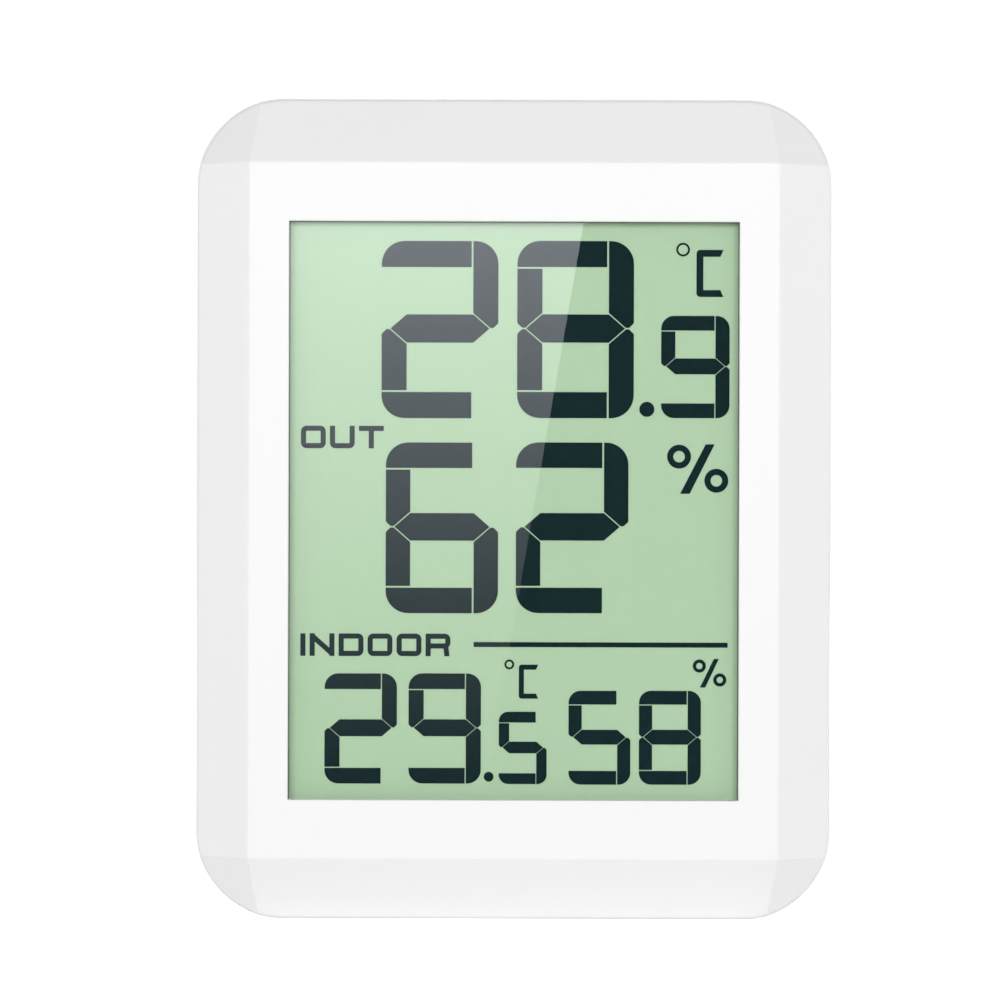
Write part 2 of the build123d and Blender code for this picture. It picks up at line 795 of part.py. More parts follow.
# Circuit board
with BuildPart() as main_board:
    with BuildSketch(front_view(board_back_y)):
        with Locations((0, mid_z)):
            Rectangle(board_width, board_height)
    extrude(amount=board_thickness)
    chamfer(main_board.edges().filter_by(Axis.Y), board_corner_cut)
    with BuildSketch(front_view(board_back_y + overrun)):
        with Locations((0, mid_z)):
            with GridLocations(board_screw_spacing_x, board_screw_spacing_z, 2, 2):
                Circle(board_screw_radius + hole_clearance)
    extrude(amount=board_thickness + 2 * overrun, mode=Mode.SUBTRACT)
main_board.part.label = "main_board"

# Controller chip under its drop of resin
with BuildPart() as controller_chip:
    with BuildSketch(front_view(board_back_y)):
        with Locations((blob_x, blob_z)):
            Circle(blob_radius)
    extrude(amount=-blob_height)
    fillet(controller_chip.faces().sort_by(Axis.Y)[-1].edges(), blob_height * blob_round_share)
controller_chip.part.label = "controller_chip"

# Radio receiver: a small board of its own, soldered flat, with a metal shield on it
with BuildPart() as radio_board:
    with BuildSketch(front_view(board_back_y)):
        with Locations((module_x, module_z)):
            Rectangle(module_width, module_height)
    extrude(amount=-module_thickness)
radio_board.part.label = "radio_board"

with BuildPart() as radio_shield:
    with BuildSketch(front_view(module_back_y)):
        with Locations((module_x, module_z)):
            Rectangle(module_can_width, module_can_height)
    extrude(amount=-module_can_thickness)
    fillet(radio_shield.edges().filter_by(Axis.Y), module_can_thickness / 2)
radio_shield.part.label = "radio_shield"

# Antenna wire: off the radio board, up one side of the case, across and down the other side
with BuildPart() as antenna_wire:
    with BuildLine() as antenna_route:
        FilletPolyline(
            (-antenna_half_span, module_back_y, antenna_start_z),
            (-antenna_half_span, antenna_y, antenna_start_z),
            (-antenna_half_span, antenna_y, antenna_top_z),
            (antenna_half_span, antenna_y, antenna_top_z),
            (antenna_half_span, antenna_y, antenna_end_z),
            radius=[antenna_exit_radius, antenna_bend_radius, antenna_bend_radius],
        )
    with BuildSketch(front_view(module_back_y)):
        with Locations((-antenna_half_span, antenna_start_z)):
            Circle(antenna_radius)
    sweep(path=antenna_route.line)
antenna_wire.part.label = "antenna_wire"

# Clock crystal: a small metal can lying on the board, on two bent leads
with BuildPart() as clock_crystal:
    with BuildSketch(Plane.XY.offset(crystal_z)):
        with Locations((crystal_x, crystal_y)):
            Circle(crystal_radius)
    extrude(amount=crystal_length)
    for side in (-1, 1):
        with BuildLine() as lead_route:
            FilletPolyline(
                (crystal_x + side * crystal_radius / 2, crystal_y, crystal_z + crystal_radius),
                (crystal_x + side * crystal_radius / 2, crystal_y, crystal_z - crystal_lead_length),
                (crystal_x + side * crystal_radius / 2, board_back_y, crystal_z - crystal_lead_length),
                radius=crystal_radius / 2,
            )
        with BuildSketch(Plane.XY.offset(crystal_z + crystal_radius)):
            with Locations((crystal_x + side * crystal_radius / 2, crystal_y)):
                Circle(crystal_lead_radius)
        sweep(path=lead_route.line)
clock_crystal.part.label = "clock_crystal"

# Filter capacitor standing on two leads
with BuildPart() as filter_capacitor:
    with BuildSketch(front_view(board_back_y + capacitor_stand_off)):
        with Locations((capacitor_x, capacitor_z)):
            Circle(capacitor_radius)
    extrude(amount=-capacitor_height)
    fillet(filter_capacitor.faces().sort_by(Axis.Y)[-1].edges(), capacitor_edge_radius)
    with BuildSketch(front_view(board_back_y)):
        with Locations((capacitor_x, capacitor_z)):
            with GridLocations(capacitor_radius, 0, 2, 1):
                Circle(capacitor_lead_radius)
    extrude(amount=-2 * capacitor_stand_off)
filter_capacitor.part.label = "filter_capacitor"

# Humidity sensor in its slotted case, behind the air slots
with BuildPart() as humidity_sensor:
    with BuildSketch(front_view(board_back_y)):
        with Locations((sensor_x, vent_z)):
            Rectangle(humidity_case_width, humidity_case_height)
    extrude(amount=-humidity_case_depth)
    with BuildSketch(front_view(board_back_y + humidity_case_depth - humidity_slot_depth)):
        with Locations((sensor_x, vent_z)):
            with GridLocations(0, humidity_slot_pitch, 1, humidity_slot_count):
                SlotOverall(humidity_slot_length, humidity_slot_width)
    extrude(amount=-humidity_slot_depth - overrun, mode=Mode.SUBTRACT)
humidity_sensor.part.label = "humidity_sensor"

# Temperature sensor: a bead on two leads
with BuildPart() as thermistor:
    with BuildSketch(front_view(board_back_y)):
        with Locations((sensor_x, bead_z)):
            with GridLocations(bead_lead_pitch, 0, 2, 1):
                Circle(bead_lead_radius)
    extrude(amount=-bead_stand_off)
    with Locations((sensor_x, board_back_y + bead_stand_off, bead_z)):
        Sphere(bead_radius)
thermistor.part.label = "thermistor"

# Small resistors and capacitors, soldered flat in two groups
with BuildPart() as chip_components:
    with BuildSketch(front_view(board_back_y)):
        with Locations((0, chip_group_z)):
            with GridLocations(chip_pitch_x, chip_pitch_z, chip_columns, chip_rows):
                Rectangle(chip_length, chip_width)
    extrude(amount=-chip_height)
chip_components.part.label = "chip_components"

# Two AAA cells side by side, the lower one pointing right and the upper one pointing left
cells = []
for cell_name, cell_z, way in (
    ("battery_cell_lower", lower_cell_z, 1),
    ("battery_cell_upper", upper_cell_z, -1),
):
    nub_tip_x = way * (bay_half_length - contact_thickness)
    with BuildPart() as cell:
        with BuildSketch(side_view(nub_tip_x - way * nub_height)):
            with Locations((cell_y, cell_z)):
                Circle(cell_radius)
        extrude(amount=-way * (cell_length - nub_height))
        fillet(cell.edges().filter_by(GeomType.CIRCLE), cell_edge_radius)
        with BuildSketch(side_view(nub_tip_x)):
            with Locations((cell_y, cell_z)):
                Circle(nub_radius)
        extrude(amount=-way * 2 * nub_height)
    cell.part.label = cell_name
    cells.append(cell)

# Contact plates: one link on the left, and a terminal for each cell on the right
with BuildPart() as battery_contacts:
    with BuildSketch(side_view(-bay_half_length)):
        with Locations((cell_y, bay_mid_z)):
            Rectangle(contact_width, cell_diameter + cell_gap + contact_height)
    extrude(amount=contact_thickness)
    with BuildSketch(side_view(bay_half_length)):
        with Locations((cell_y, lower_cell_z), (cell_y, upper_cell_z)):
            Rectangle(contact_width, contact_height)
    extrude(amount=-contact_thickness)
battery_contacts.part.label = "battery_contacts"

# Coil springs that press on the flat end of each cell
with BuildPart() as battery_springs:
    for spring_z, way in ((lower_cell_z, 1), (upper_cell_z, -1)):
        start_x = way * (spring_wire_radius + pin_clearance - bay_half_length + contact_thickness)
        with BuildLine() as coil:
            Helix(
                pitch=spring_rise / spring_turns,
                height=spring_rise,
                radius=spring_radius,
                center=(start_x, cell_y, spring_z),
                direction=(way, 0, 0),
            )
        with BuildSketch(Plane(origin=coil.line @ 0, z_dir=coil.line % 0)):
            Circle(spring_wire_radius)
        sweep(path=coil.line, is_frenet=True)
battery_springs.part.label = "battery_springs"

# Leads from the two terminals to the board, through the side wall of the bay
leads = []
for lead_name, lead_z in (
    ("battery_lead_positive", lower_cell_z),
    ("battery_lead_negative", upper_cell_z),
):
    with BuildPart() as lead:
        with BuildLine() as lead_route:
            FilletPolyline(
                (bay_half_length, lead_y, lead_z),
                (lead_turn_x, lead_y, lead_z),
                (lead_turn_x, board_back_y, lead_z),
                radius=lead_bend_radius,
            )
        with BuildSketch(side_view(bay_half_length)):
            with Locations((lead_y, lead_z)):
                Circle(lead_radius)
        sweep(path=lead_route.line)
    lead.part.label = lead_name
    leads.append(lead)

# Battery door: a flat plate on a barrel with two pins, a thumb dish and a slit latch tongue
with BuildPart() as battery_door:
    with BuildSketch(front_view(door_front_y)):
        with Locations((0, (door_hinge_z + door_top_z) / 2)):
            Rectangle(2 * door_half_width, door_top_z - door_hinge_z)
    extrude(amount=-door_thickness)
    top_corners = battery_door.edges().filter_by(Axis.Y).group_by(Axis.Z)[-1]
    fillet(top_corners, door_corner_radius)
    with BuildSketch(side_view(0)):
        with Locations((door_hinge_y, door_hinge_z)):
            Circle(door_barrel_radius)
    extrude(amount=door_half_width, both=True)
    with BuildSketch(side_view(0)):
        with Locations((door_hinge_y, door_hinge_z)):
            Circle(door_pin_radius)
    extrude(amount=door_half_width + door_pin_length, both=True)
    with BuildSketch(front_view(back_y - door_dish_depth)):
        with Locations((0, door_dish_z)):
            RectangleRounded(door_dish_width, door_dish_height, door_corner_radius)
            with GridLocations(0, door_grip_rib_pitch, 1, door_grip_rib_count):
                Rectangle(
                    door_dish_width - 2 * door_corner_radius,
                    door_grip_rib_width,
                    mode=Mode.SUBTRACT,
                )
    extrude(amount=-door_dish_depth - overrun, mode=Mode.SUBTRACT)
    with BuildSketch(front_view(door_front_y - overrun)):
        with Locations((0, door_top_z)):
            with GridLocations(door_slit_spacing, 0, 2, 1):
                Rectangle(door_slit_width, 2 * door_slit_length)
    extrude(amount=-door_thickness - 2 * overrun, mode=Mode.SUBTRACT)
battery_door.part.label = "battery_door"

# Stand: a flat leg on a barrel with two pins, hollowed between ribs on its inner side
with BuildPart() as stand:
    with BuildSketch(front_view(stand_front_y)):
        with Locations((0, (stand_foot_z + stand_hinge_z) / 2)):
            Rectangle(stand_width, stand_length)
    extrude(amount=-stand_thickness)
    foot_corners = stand.edges().filter_by(Axis.Y).group_by(Axis.Z)[0]
    fillet(foot_corners, stand_corner_radius)
    with BuildSketch(side_view(0)):
        with Locations((stand_hinge_y, stand_hinge_z)):
            Circle(stand_barrel_radius)
    extrude(amount=stand_width / 2, both=True)
    with BuildSketch(side_view(0)):
        with Locations((stand_hinge_y, stand_hinge_z)):
            Circle(stand_pin_radius)
    extrude(amount=stand_width / 2 + stand_pin_length, both=True)
    with BuildSketch(front_view(stand_front_y - overrun)):
        with Locations((0, stand_pocket_mid_z)):
            with GridLocations(0, stand_pocket_pitch, 1, stand_pocket_count):
                Rectangle(stand_width - 2 * stand_rim, stand_pocket_pitch - stand_rib)
    extrude(amount=-stand_pocket_depth - overrun, mode=Mode.SUBTRACT)
stand.part.label = "stand"

# Button caps, each with a flange behind the wall and a long stem, their switches and plungers
buttons = []
plungers = []
for side_name, column in (("left", -1), ("middle", 0), ("right", 1)):
    button_x = column * button_pitch
    with BuildPart() as button_cap:
        with BuildSketch(front_view(button_top_y)):
            with Locations((button_x, button_z)):
                Circle(button_radius)
        extrude(amount=button_top_y - flange_front_y)
        fillet(button_cap.faces().sort_by(Axis.Y)[-1].edges(), button_edge_radius)
        with BuildSketch(front_view(flange_back_y)):
            with Locations((button_x, button_z)):
                Circle(button_radius + button_flange_width)
        extrude(amount=button_flange_thickness)
        with BuildSketch(front_view(flange_front_y)):
            with Locations((button_x, button_z)):
                Circle(button_stem_radius)
        extrude(amount=flange_front_y - plunger_top_y)
    button_cap.part.label = f"button_{side_name}"
    buttons.append(button_cap)
    with BuildPart() as plunger:
        with BuildSketch(front_view(plunger_top_y)):
            with Locations((button_x, button_z)):
                Circle(plunger_radius)
        extrude(amount=plunger_top_y - plunger_end_y)
    plunger.part.label = f"switch_plunger_{side_name}"
    plungers.append(plunger)

with BuildPart() as switch_bodies:
    with BuildSketch(front_view(board_back_y)):
        with Locations((0, button_z)):
            with GridLocations(button_pitch, 0, button_count, 1):
                Rectangle(switch_size, switch_size)
    extrude(amount=-switch_height)
    chamfer(switch_bodies.edges().filter_by(Axis.Y), switch_edge)
    with BuildSketch(front_view(plunger_end_y - button_travel - plunger_bottom_clearance)):
        with Locations((0, button_z)):
            with GridLocations(button_pitch, 0, button_count, 1):
                Circle(plunger_radius + plunger_clearance)
    extrude(amount=-switch_height, mode=Mode.SUBTRACT)
switch_bodies.part.label = "switch_bodies"

# Display contents. Places are shares of the window opening, measured from its top left corner
# to the right and downwards, of the top left corner of each digit, mark and word.
lit_segments = {"2": "abdeg", "5": "acdfg", "6": "acdefg", "8": "abcdefg", "9": "abcdfg"}
large_digit_shares = (("2", 0.2046, 0.0323), ("8", 0.5068, 0.0316))
tenths_digit_shares = (("9", 0.8277, 0.1609),)
middle_digit_shares = (("6", 0.2150, 0.3820), ("2", 0.5051, 0.3813))
indoor_digit_shares = (("2", 0.0798, 0.7830), ("9", 0.2671, 0.7826))
indoor_tenths_shares = (("5", 0.4683, 0.8487),)
percent_digit_shares = (("5", 0.6236, 0.8120), ("8", 0.7806, 0.8117))
large_point_shares = (0.7961, 0.3233)
small_point_shares = (0.4458, 0.9616)
divider_shares = (0.6945, 0.7322)
large_celsius_shares = (0.8606, 0.0341)
small_celsius_shares = (0.4802, 0.7581)
large_percent_shares = (0.8416, 0.3837)
small_percent_shares = (0.9002, 0.7560)
outside_word_shares = (0.0254, 0.3534)
inside_word_shares = (0.0254, 0.7137)
# Strokes of the plain block letters, as shares of the box between the middles of the outer
# strokes. A stroke that starts or ends outside this box is cut off square at the letter's edge.
letter_stroke_shares = {
    "D": [[(0, -1), (0, 2)], [(-1, 1), (1, 1), (1, 0), (-1, 0)]],
    "I": [[(0, -1), (0, 2)]],
    "N": [[(0, -1), (0, 2)], [(-1, 2), (2, -1)], [(1, -1), (1, 2)]],
    "O": [[(0.5, 1), (0, 1), (0, 0), (0.5, 0)], [(0.5, 1), (1, 1), (1, 0), (0.5, 0)]],
    "R": [
        [(0, -1), (0, 2)],
        [(-1, 1), (1, 1), (1, 0.44), (-1, 0.44)],
        [(0.4, 0.44), (0.9, 0.44), (1.04, -1)],
    ],
    "T": [[(-1, 1), (2, 1)], [(0.5, 1), (0.5, -1)]],
    "U": [[(0, 2), (0, 0), (1, 0), (1, 2)]],
}
letter_round_share = 0.6
# Parts of a percent sign, on a box one wide and one high
percent_ring_share = 0.195
percent_hole_share = 0.095
percent_ring_place_shares = ((0.195, 0.75), (0.805, 0.265))
percent_slash_shares = ((0.215, 0), (0.37, 0), (0.775, 1), (0.63, 1))
# Parts of a degree sign and its C: shares of the width and the height of the pair, then shares
# of the stroke of the C, whose two ends are cut at a slant
degree_ring_share = 0.145
celsius_letter_width_share = 0.57
celsius_letter_height_share = 0.87
celsius_slant_share = 0.45
celsius_round_share = 0.55


def on_display(place_shares):
    """The point of the display at the given shares of the window opening."""
    right_share, down_share = place_shares
    return (
        (right_share - 1 / 2) * opening_width,
        face_centre_z + (1 / 2 - down_share) * opening_height,
    )


def segment_outlines(width, height, stroke):
    """Outlines of the seven segments of a digit, from its lower left corner."""
    side = stroke * segment_side_share
    half_bar = stroke * segment_bar_share / 2
    gap = stroke * segment_gap_share
    waist_gap = stroke * segment_waist_gap_share
    tip = stroke * segment_tip_share
    nick = stroke * segment_nick_share
    waist = height * segment_waist_share
    inner_right = width - side
    outlines = {}
    for flat, right, left, end, way in (("a", "b", "f", height, 1), ("d", "c", "e", 0, -1)):
        flat_edge = end - way * stroke
        waist_edge = waist + way * waist_gap
        bar_edge = waist + way * (half_bar + 2 * waist_gap)
        outlines[flat] = [
            (0, end),
            (inner_right - gap, end),
            (inner_right - gap, flat_edge),
            (0, flat_edge),
        ]
        outlines[right] = [
            (inner_right, end),
            (width, end),
            (width, waist_edge + way * nick),
            (width - nick, waist_edge),
            (width - tip + waist_gap, waist_edge),
            (inner_right, bar_edge),
        ]
        outlines[left] = [
            (0, flat_edge - way * gap),
            (side, flat_edge - way * gap),
            (side, bar_edge),
            (tip - waist_gap, waist_edge),
            (nick, waist_edge),
            (0, waist_edge + way * nick),
        ]
    outlines["g"] = [
        (tip, waist),
        (side, waist + half_bar),
        (inner_right, waist + half_bar),
        (width - tip, waist),
        (inner_right, waist - half_bar),
        (side, waist - half_bar),
    ]
    return outlines


def draw_digit(character, place_shares, width, height, stroke):
    """Draws a digit's lit segments in the sketch that is open, cut to rounded corners."""
    left, top = on_display(place_shares)
    outlines = segment_outlines(width, height, stroke)
    with Locations((left, top - height)):
        for segment in lit_segments[character]:
            Polygon(*outlines[segment], align=None)
    with Locations((left + width / 2, top - height / 2)):
        RectangleRounded(width, height, stroke * segment_round_share, mode=Mode.INTERSECT)


def draw_letter(letter, left, top, width):
    """Draws one block letter in the sketch that is open, and cuts it to its own box."""
    for path_shares in letter_stroke_shares[letter]:
        points = [
            (
                left + letter_stroke / 2 + (width - letter_stroke) * right_share,
                top - letter_stroke / 2 - (letter_height - letter_stroke) * (1 - up_share),
            )
            for right_share, up_share in path_shares
        ]
        with BuildLine() as path:
            if len(points) > 2:
                FilletPolyline(*points, radius=letter_stroke * letter_round_share)
            else:
                Line(*points)
        trace(lines=path.line, line_width=letter_stroke)
    with Locations((left + width / 2, top - letter_height / 2)):
        Rectangle(width, letter_height, mode=Mode.INTERSECT)


def letter_places(word, place_shares):
    """Each letter of a word, with its left edge, its top and its width."""
    left, top = on_display(place_shares)
    places = []
    for letter in word:
        width = letter_stroke if letter == "I" else letter_width
        places.append((letter, left, top, width))
        left += width + letter_space
    return places


def draw_percent(place_shares, width, height):
    """Draws a percent sign in the sketch that is open."""
    left, top = on_display(place_shares)
    bottom = top - height
    for right_share, up_share in percent_ring_place_shares:
        with Locations((left + width * right_share, bottom + height * up_share)):
            Circle(width * percent_ring_share)
            Circle(width * percent_hole_share, mode=Mode.SUBTRACT)
    slash = [
        (width * right_share, height * up_share)
        for right_share, up_share in percent_slash_shares
    ]
    with Locations((left, bottom)):
        Polygon(*slash, align=None)


def draw_celsius(place_shares, width, height, stroke):
    """Draws a degree sign and its C in the sketch that is open."""
    left, top = on_display(place_shares)
    ring_radius = width * degree_ring_share
    c_width = width * celsius_letter_width_share
    c_height = height * celsius_letter_height_share
    c_left = left + width - c_width
    c_bottom = top - height
    slant_x = c_width - stroke * celsius_slant_share
    outline = [
        (0, 0),
        (c_width, 0),
        (slant_x, stroke),
        (stroke, stroke),
        (stroke, c_height - stroke),
        (slant_x, c_height - stroke),
        (c_width, c_height),
        (0, c_height),
    ]
    with Locations((c_left, c_bottom)):
        Polygon(*outline, align=None)
    with Locations((c_left + c_width, c_bottom + c_height / 2)):
        RectangleRounded(2 * c_width, c_height, stroke * celsius_round_share, mode=Mode.INTERSECT)
    with Locations((left + ring_radius, top - ring_radius)):
        Circle(ring_radius)
        Circle(ring_radius - degree_line, mode=Mode.SUBTRACT)


# Segments of the display: thin dark shapes between the two glasses
with BuildPart() as lcd_segments:
    for digit_shares, width, height, stroke in (
        (large_digit_shares, large_digit_width, large_digit_height, large_digit_stroke),
        (tenths_digit_shares, tenths_digit_width, tenths_digit_height, tenths_digit_stroke),
        (middle_digit_shares, middle_digit_width, middle_digit_height, middle_digit_stroke),
        (indoor_digit_shares, indoor_digit_width, indoor_digit_height, indoor_digit_stroke),
        (indoor_tenths_shares, indoor_tenths_width, indoor_tenths_height, indoor_tenths_stroke),
        (percent_digit_shares, percent_digit_width, percent_digit_height, percent_digit_stroke),
    ):
        for character, right_share, down_share in digit_shares:
            with BuildSketch(front_view(rear_glass_front_y)):
                draw_digit(character, (right_share, down_share), width, height, stroke)
            extrude(amount=segment_thickness)
    for place_shares, width, height, stroke in (
        (large_celsius_shares, large_celsius_width, large_celsius_height, large_celsius_stroke),
        (small_celsius_shares, small_celsius_width, small_celsius_height, small_celsius_stroke),
    ):
        with BuildSketch(front_view(rear_glass_front_y)):
            draw_celsius(place_shares, width, height, stroke)
        extrude(amount=segment_thickness)
    for word, place_shares in (("OUT", outside_word_shares), ("INDOOR", inside_word_shares)):
        for letter, left, top, width in letter_places(word, place_shares):
            with BuildSketch(front_view(rear_glass_front_y)):
                draw_letter(letter, left, top, width)
            extrude(amount=segment_thickness)
    with BuildSketch(front_view(rear_glass_front_y)):
        with Locations(on_display(large_point_shares)):
            Circle(large_point_radius)
        with Locations(on_display(small_point_shares)):
            Circle(small_point_radius)
        with Locations(on_display(divider_shares)):
            Rectangle(divider_length, divider_thickness)
        draw_percent(large_percent_shares, large_percent_width, large_percent_height)
        draw_percent(small_percent_shares, small_percent_width, small_percent_height)
    extrude(amount=segment_thickness)
lcd_segments.part.label = "lcd_segments"

os.makedirs("parts", exist_ok=True)
for piece in (
    front_casing,
    rear_casing,
    case_screws,
    board_screws,
    window_tape,
    display_window,
    lcd_frame,
    lcd_front_glass,
    lcd_segments,
    lcd_rear_glass,
    lcd_reflector,
    *zebra_strips,
    main_board,
    controller_chip,
    radio_board,
    radio_shield,
    antenna_wire,
    clock_crystal,
    filter_capacitor,
    humidity_sensor,
    thermistor,
    chip_components,
    *cells,
    battery_contacts,
    battery_springs,
    *leads,
    battery_door,
    stand,
    *buttons,
    *plungers,
    switch_bodies,
):
    export_step(piece.part, f"parts/{piece.part.label}.step")
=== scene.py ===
from math import radians, tau

import bmesh
import bpy
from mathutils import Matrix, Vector


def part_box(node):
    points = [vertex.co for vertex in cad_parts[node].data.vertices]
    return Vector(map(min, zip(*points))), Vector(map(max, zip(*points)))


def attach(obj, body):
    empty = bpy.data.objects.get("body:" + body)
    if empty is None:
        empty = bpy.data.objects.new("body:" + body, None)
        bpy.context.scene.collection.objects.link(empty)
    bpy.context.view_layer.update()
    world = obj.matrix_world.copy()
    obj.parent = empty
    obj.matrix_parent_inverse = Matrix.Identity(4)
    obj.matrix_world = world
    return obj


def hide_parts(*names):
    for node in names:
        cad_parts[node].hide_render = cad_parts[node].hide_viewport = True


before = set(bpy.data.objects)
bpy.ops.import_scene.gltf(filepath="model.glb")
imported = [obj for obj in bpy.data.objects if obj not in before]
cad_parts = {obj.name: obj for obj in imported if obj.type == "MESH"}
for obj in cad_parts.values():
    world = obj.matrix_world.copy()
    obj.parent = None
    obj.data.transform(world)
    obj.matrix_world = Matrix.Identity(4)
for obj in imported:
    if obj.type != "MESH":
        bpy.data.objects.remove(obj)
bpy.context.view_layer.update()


# Case: two halves of white ABS, moulded in polished steel tools with a fine satin grain. The
# front half has the flat face and the sloping borders. The back half carries the stand and the
# battery door, which are of the same plastic.
cloud_scale = 22
plastic_roughness_spread = 0.05
case_edge_radius = 0.0003


def plain_finish(name):
    """A new material, the tree of its nodes and its one plain shader."""
    material = bpy.data.materials.new(name)
    material.use_nodes = True
    tree = material.node_tree
    return material, tree, tree.nodes["Principled BSDF"]


def blend(tree, first, second):
    """A node that goes from a first colour to a second one."""
    tint = tree.nodes.new("ShaderNodeMix")
    tint.data_type = "RGBA"
    tint.inputs["A"].default_value = (*first, 1)
    tint.inputs["B"].default_value = (*second, 1)
    return tint


def moulded_plastic(name, colour, shade, roughness, grain_size, grain_depth):
    """Moulded plastic: faint clouds from shade to colour, and a fine satin grain."""
    material, tree, shader = plain_finish(name)
    place = tree.nodes.new("ShaderNodeTexCoord")
    clouds = tree.nodes.new("ShaderNodeTexNoise")
    clouds.inputs["Scale"].default_value = cloud_scale
    clouds.inputs["Detail"].default_value = 3
    tint = blend(tree, shade, colour)
    polish = tree.nodes.new("ShaderNodeMapRange")
    polish.inputs["To Min"].default_value = roughness - plastic_roughness_spread
    polish.inputs["To Max"].default_value = roughness + plastic_roughness_spread
    grain = tree.nodes.new("ShaderNodeTexNoise")
    grain.inputs["Scale"].default_value = 1 / grain_size
    grain.inputs["Detail"].default_value = 2
    bump = tree.nodes.new("ShaderNodeBump")
    bump.inputs["Distance"].default_value = grain_depth
    bump.inputs["Strength"].default_value = 1.0
    tree.links.new(place.outputs["Object"], clouds.inputs["Vector"])
    tree.links.new(place.outputs["Object"], grain.inputs["Vector"])
    tree.links.new(clouds.outputs["Fac"], tint.inputs["Factor"])
    tree.links.new(clouds.outputs["Fac"], polish.inputs["Value"])
    tree.links.new(grain.outputs["Fac"], bump.inputs["Height"])
    tree.links.new(tint.outputs["Result"], shader.inputs["Base Color"])
    tree.links.new(polish.outputs["Result"], shader.inputs["Roughness"])
    tree.links.new(bump.outputs["Normal"], shader.inputs["Normal"])
    return material


def dress(material, *names):
    """Gives CAD nodes a material, in place of the plain one that they came with."""
    for name in names:
        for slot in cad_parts[name].material_slots:
            slot.material = material


def soften_edges(material, radius):
    """Rounds the look of a material's sharp edges, as polished tools leave them."""
    tree = material.node_tree
    edge = tree.nodes.new("ShaderNodeBevel")
    edge.inputs["Radius"].default_value = radius
    for node in tree.nodes:
        if node.bl_idname == "ShaderNodeBump":
            tree.links.new(edge.outputs["Normal"], node.inputs["Normal"])


case_plastic = moulded_plastic(
    "case_plastic",
    colour=(0.905, 0.905, 0.903),
    shade=(0.880, 0.881, 0.882),
    roughness=0.50,
    grain_size=0.00035,
    grain_depth=0.000004,
)
soften_edges(case_plastic, case_edge_radius)
dress(case_plastic, "front_casing", "rear_casing", "battery_door", "stand")


# Window: a flat clear acrylic sheet, stuck behind the bezel with a frame of thin black foam
# tape. It lets the light through and mirrors a little, more at a slant.
def bare_finish(name):
    """A new material, the tree of its nodes and its output, with no shader yet."""
    material = bpy.data.materials.new(name)
    material.use_nodes = True
    tree = material.node_tree
    tree.nodes.clear()
    return material, tree, tree.nodes.new("ShaderNodeOutputMaterial")


def clear_sheet(name, shine):
    """A clear sheet that mirrors shine of the light head on, and all of it edge on."""
    material, tree, output = bare_finish(name)
    slant = tree.nodes.new("ShaderNodeLayerWeight")
    slant.inputs["Blend"].default_value = 0.5
    steep = tree.nodes.new("ShaderNodeMath")
    steep.operation = "POWER"
    steep.inputs[1].default_value = 5
    share = tree.nodes.new("ShaderNodeMapRange")
    share.inputs["To Min"].default_value = shine
    share.inputs["To Max"].default_value = 1.0
    through = tree.nodes.new("ShaderNodeBsdfTransparent")
    through.inputs["Color"].default_value = (1, 1, 1, 1)
    mirror = tree.nodes.new("ShaderNodeBsdfAnisotropic")
    mirror.inputs["Roughness"].default_value = 0.0
    mix = tree.nodes.new("ShaderNodeMixShader")
    tree.links.new(slant.outputs["Facing"], steep.inputs[0])
    tree.links.new(steep.outputs["Value"], share.inputs["Value"])
    tree.links.new(share.outputs["Result"], mix.inputs["Fac"])
    tree.links.new(through.outputs["BSDF"], mix.inputs[1])
    tree.links.new(mirror.outputs["BSDF"], mix.inputs[2])
    tree.links.new(mix.outputs["Shader"], output.inputs["Surface"])
    return material


dress(clear_sheet("window_acrylic", shine=0.04), "display_window")
tape_foam = moulded_plastic(
    "tape_foam",
    colour=(0.022, 0.022, 0.023),
    shade=(0.014, 0.014, 0.015),
    roughness=0.8,
    grain_size=0.0002,
    grain_depth=0.00002,
)
dress(tape_foam, "window_tape")


# Border: a band of dark ink round the back of the window, behind the bezel, that hides the edges
# of the display cell and of its carrier frame. The hair's width of it that shows at the sides and
# the top of the opening is painted shade, a dark line where the recess edge casts its shade.
window_overlap = 0.0030
# Widths at which the dark band shows inside the opening, at the sides and the top: painted shade.
shade_line_width = 0.00010
shade_line_width_at_top = 0.00003
border_hidden = 0.00015
border_thickness = 0.00002
border_hair_gap = 0.00001


def rectangle_loop(mesh, low, high):
    """Four joined edges of an upright rectangle between two corners, and nothing inside it."""
    corners = [
        mesh.verts.new((low.x, low.y, low.z)),
        mesh.verts.new((high.x, low.y, low.z)),
        mesh.verts.new((high.x, low.y, high.z)),
        mesh.verts.new((low.x, low.y, high.z)),
    ]
    return [mesh.edges.new((corners[i], corners[(i + 1) % 4])) for i in range(4)]


def place_mesh(name, mesh):
    """Makes an object of a bmesh and puts it in the scene."""
    data = bpy.data.meshes.new(name)
    mesh.to_mesh(data)
    mesh.free()
    piece = bpy.data.objects.new(name, data)
    bpy.context.scene.collection.objects.link(piece)
    return piece


def add_piece(name, mesh, materials, body, smooth=False):
    """Makes a piece of a bmesh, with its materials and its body."""
    piece = place_mesh(name, mesh)
    for material in materials:
        piece.data.materials.append(material)
    for polygon in piece.data.polygons:
        polygon.use_smooth = smooth
    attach(piece, body)
    return piece


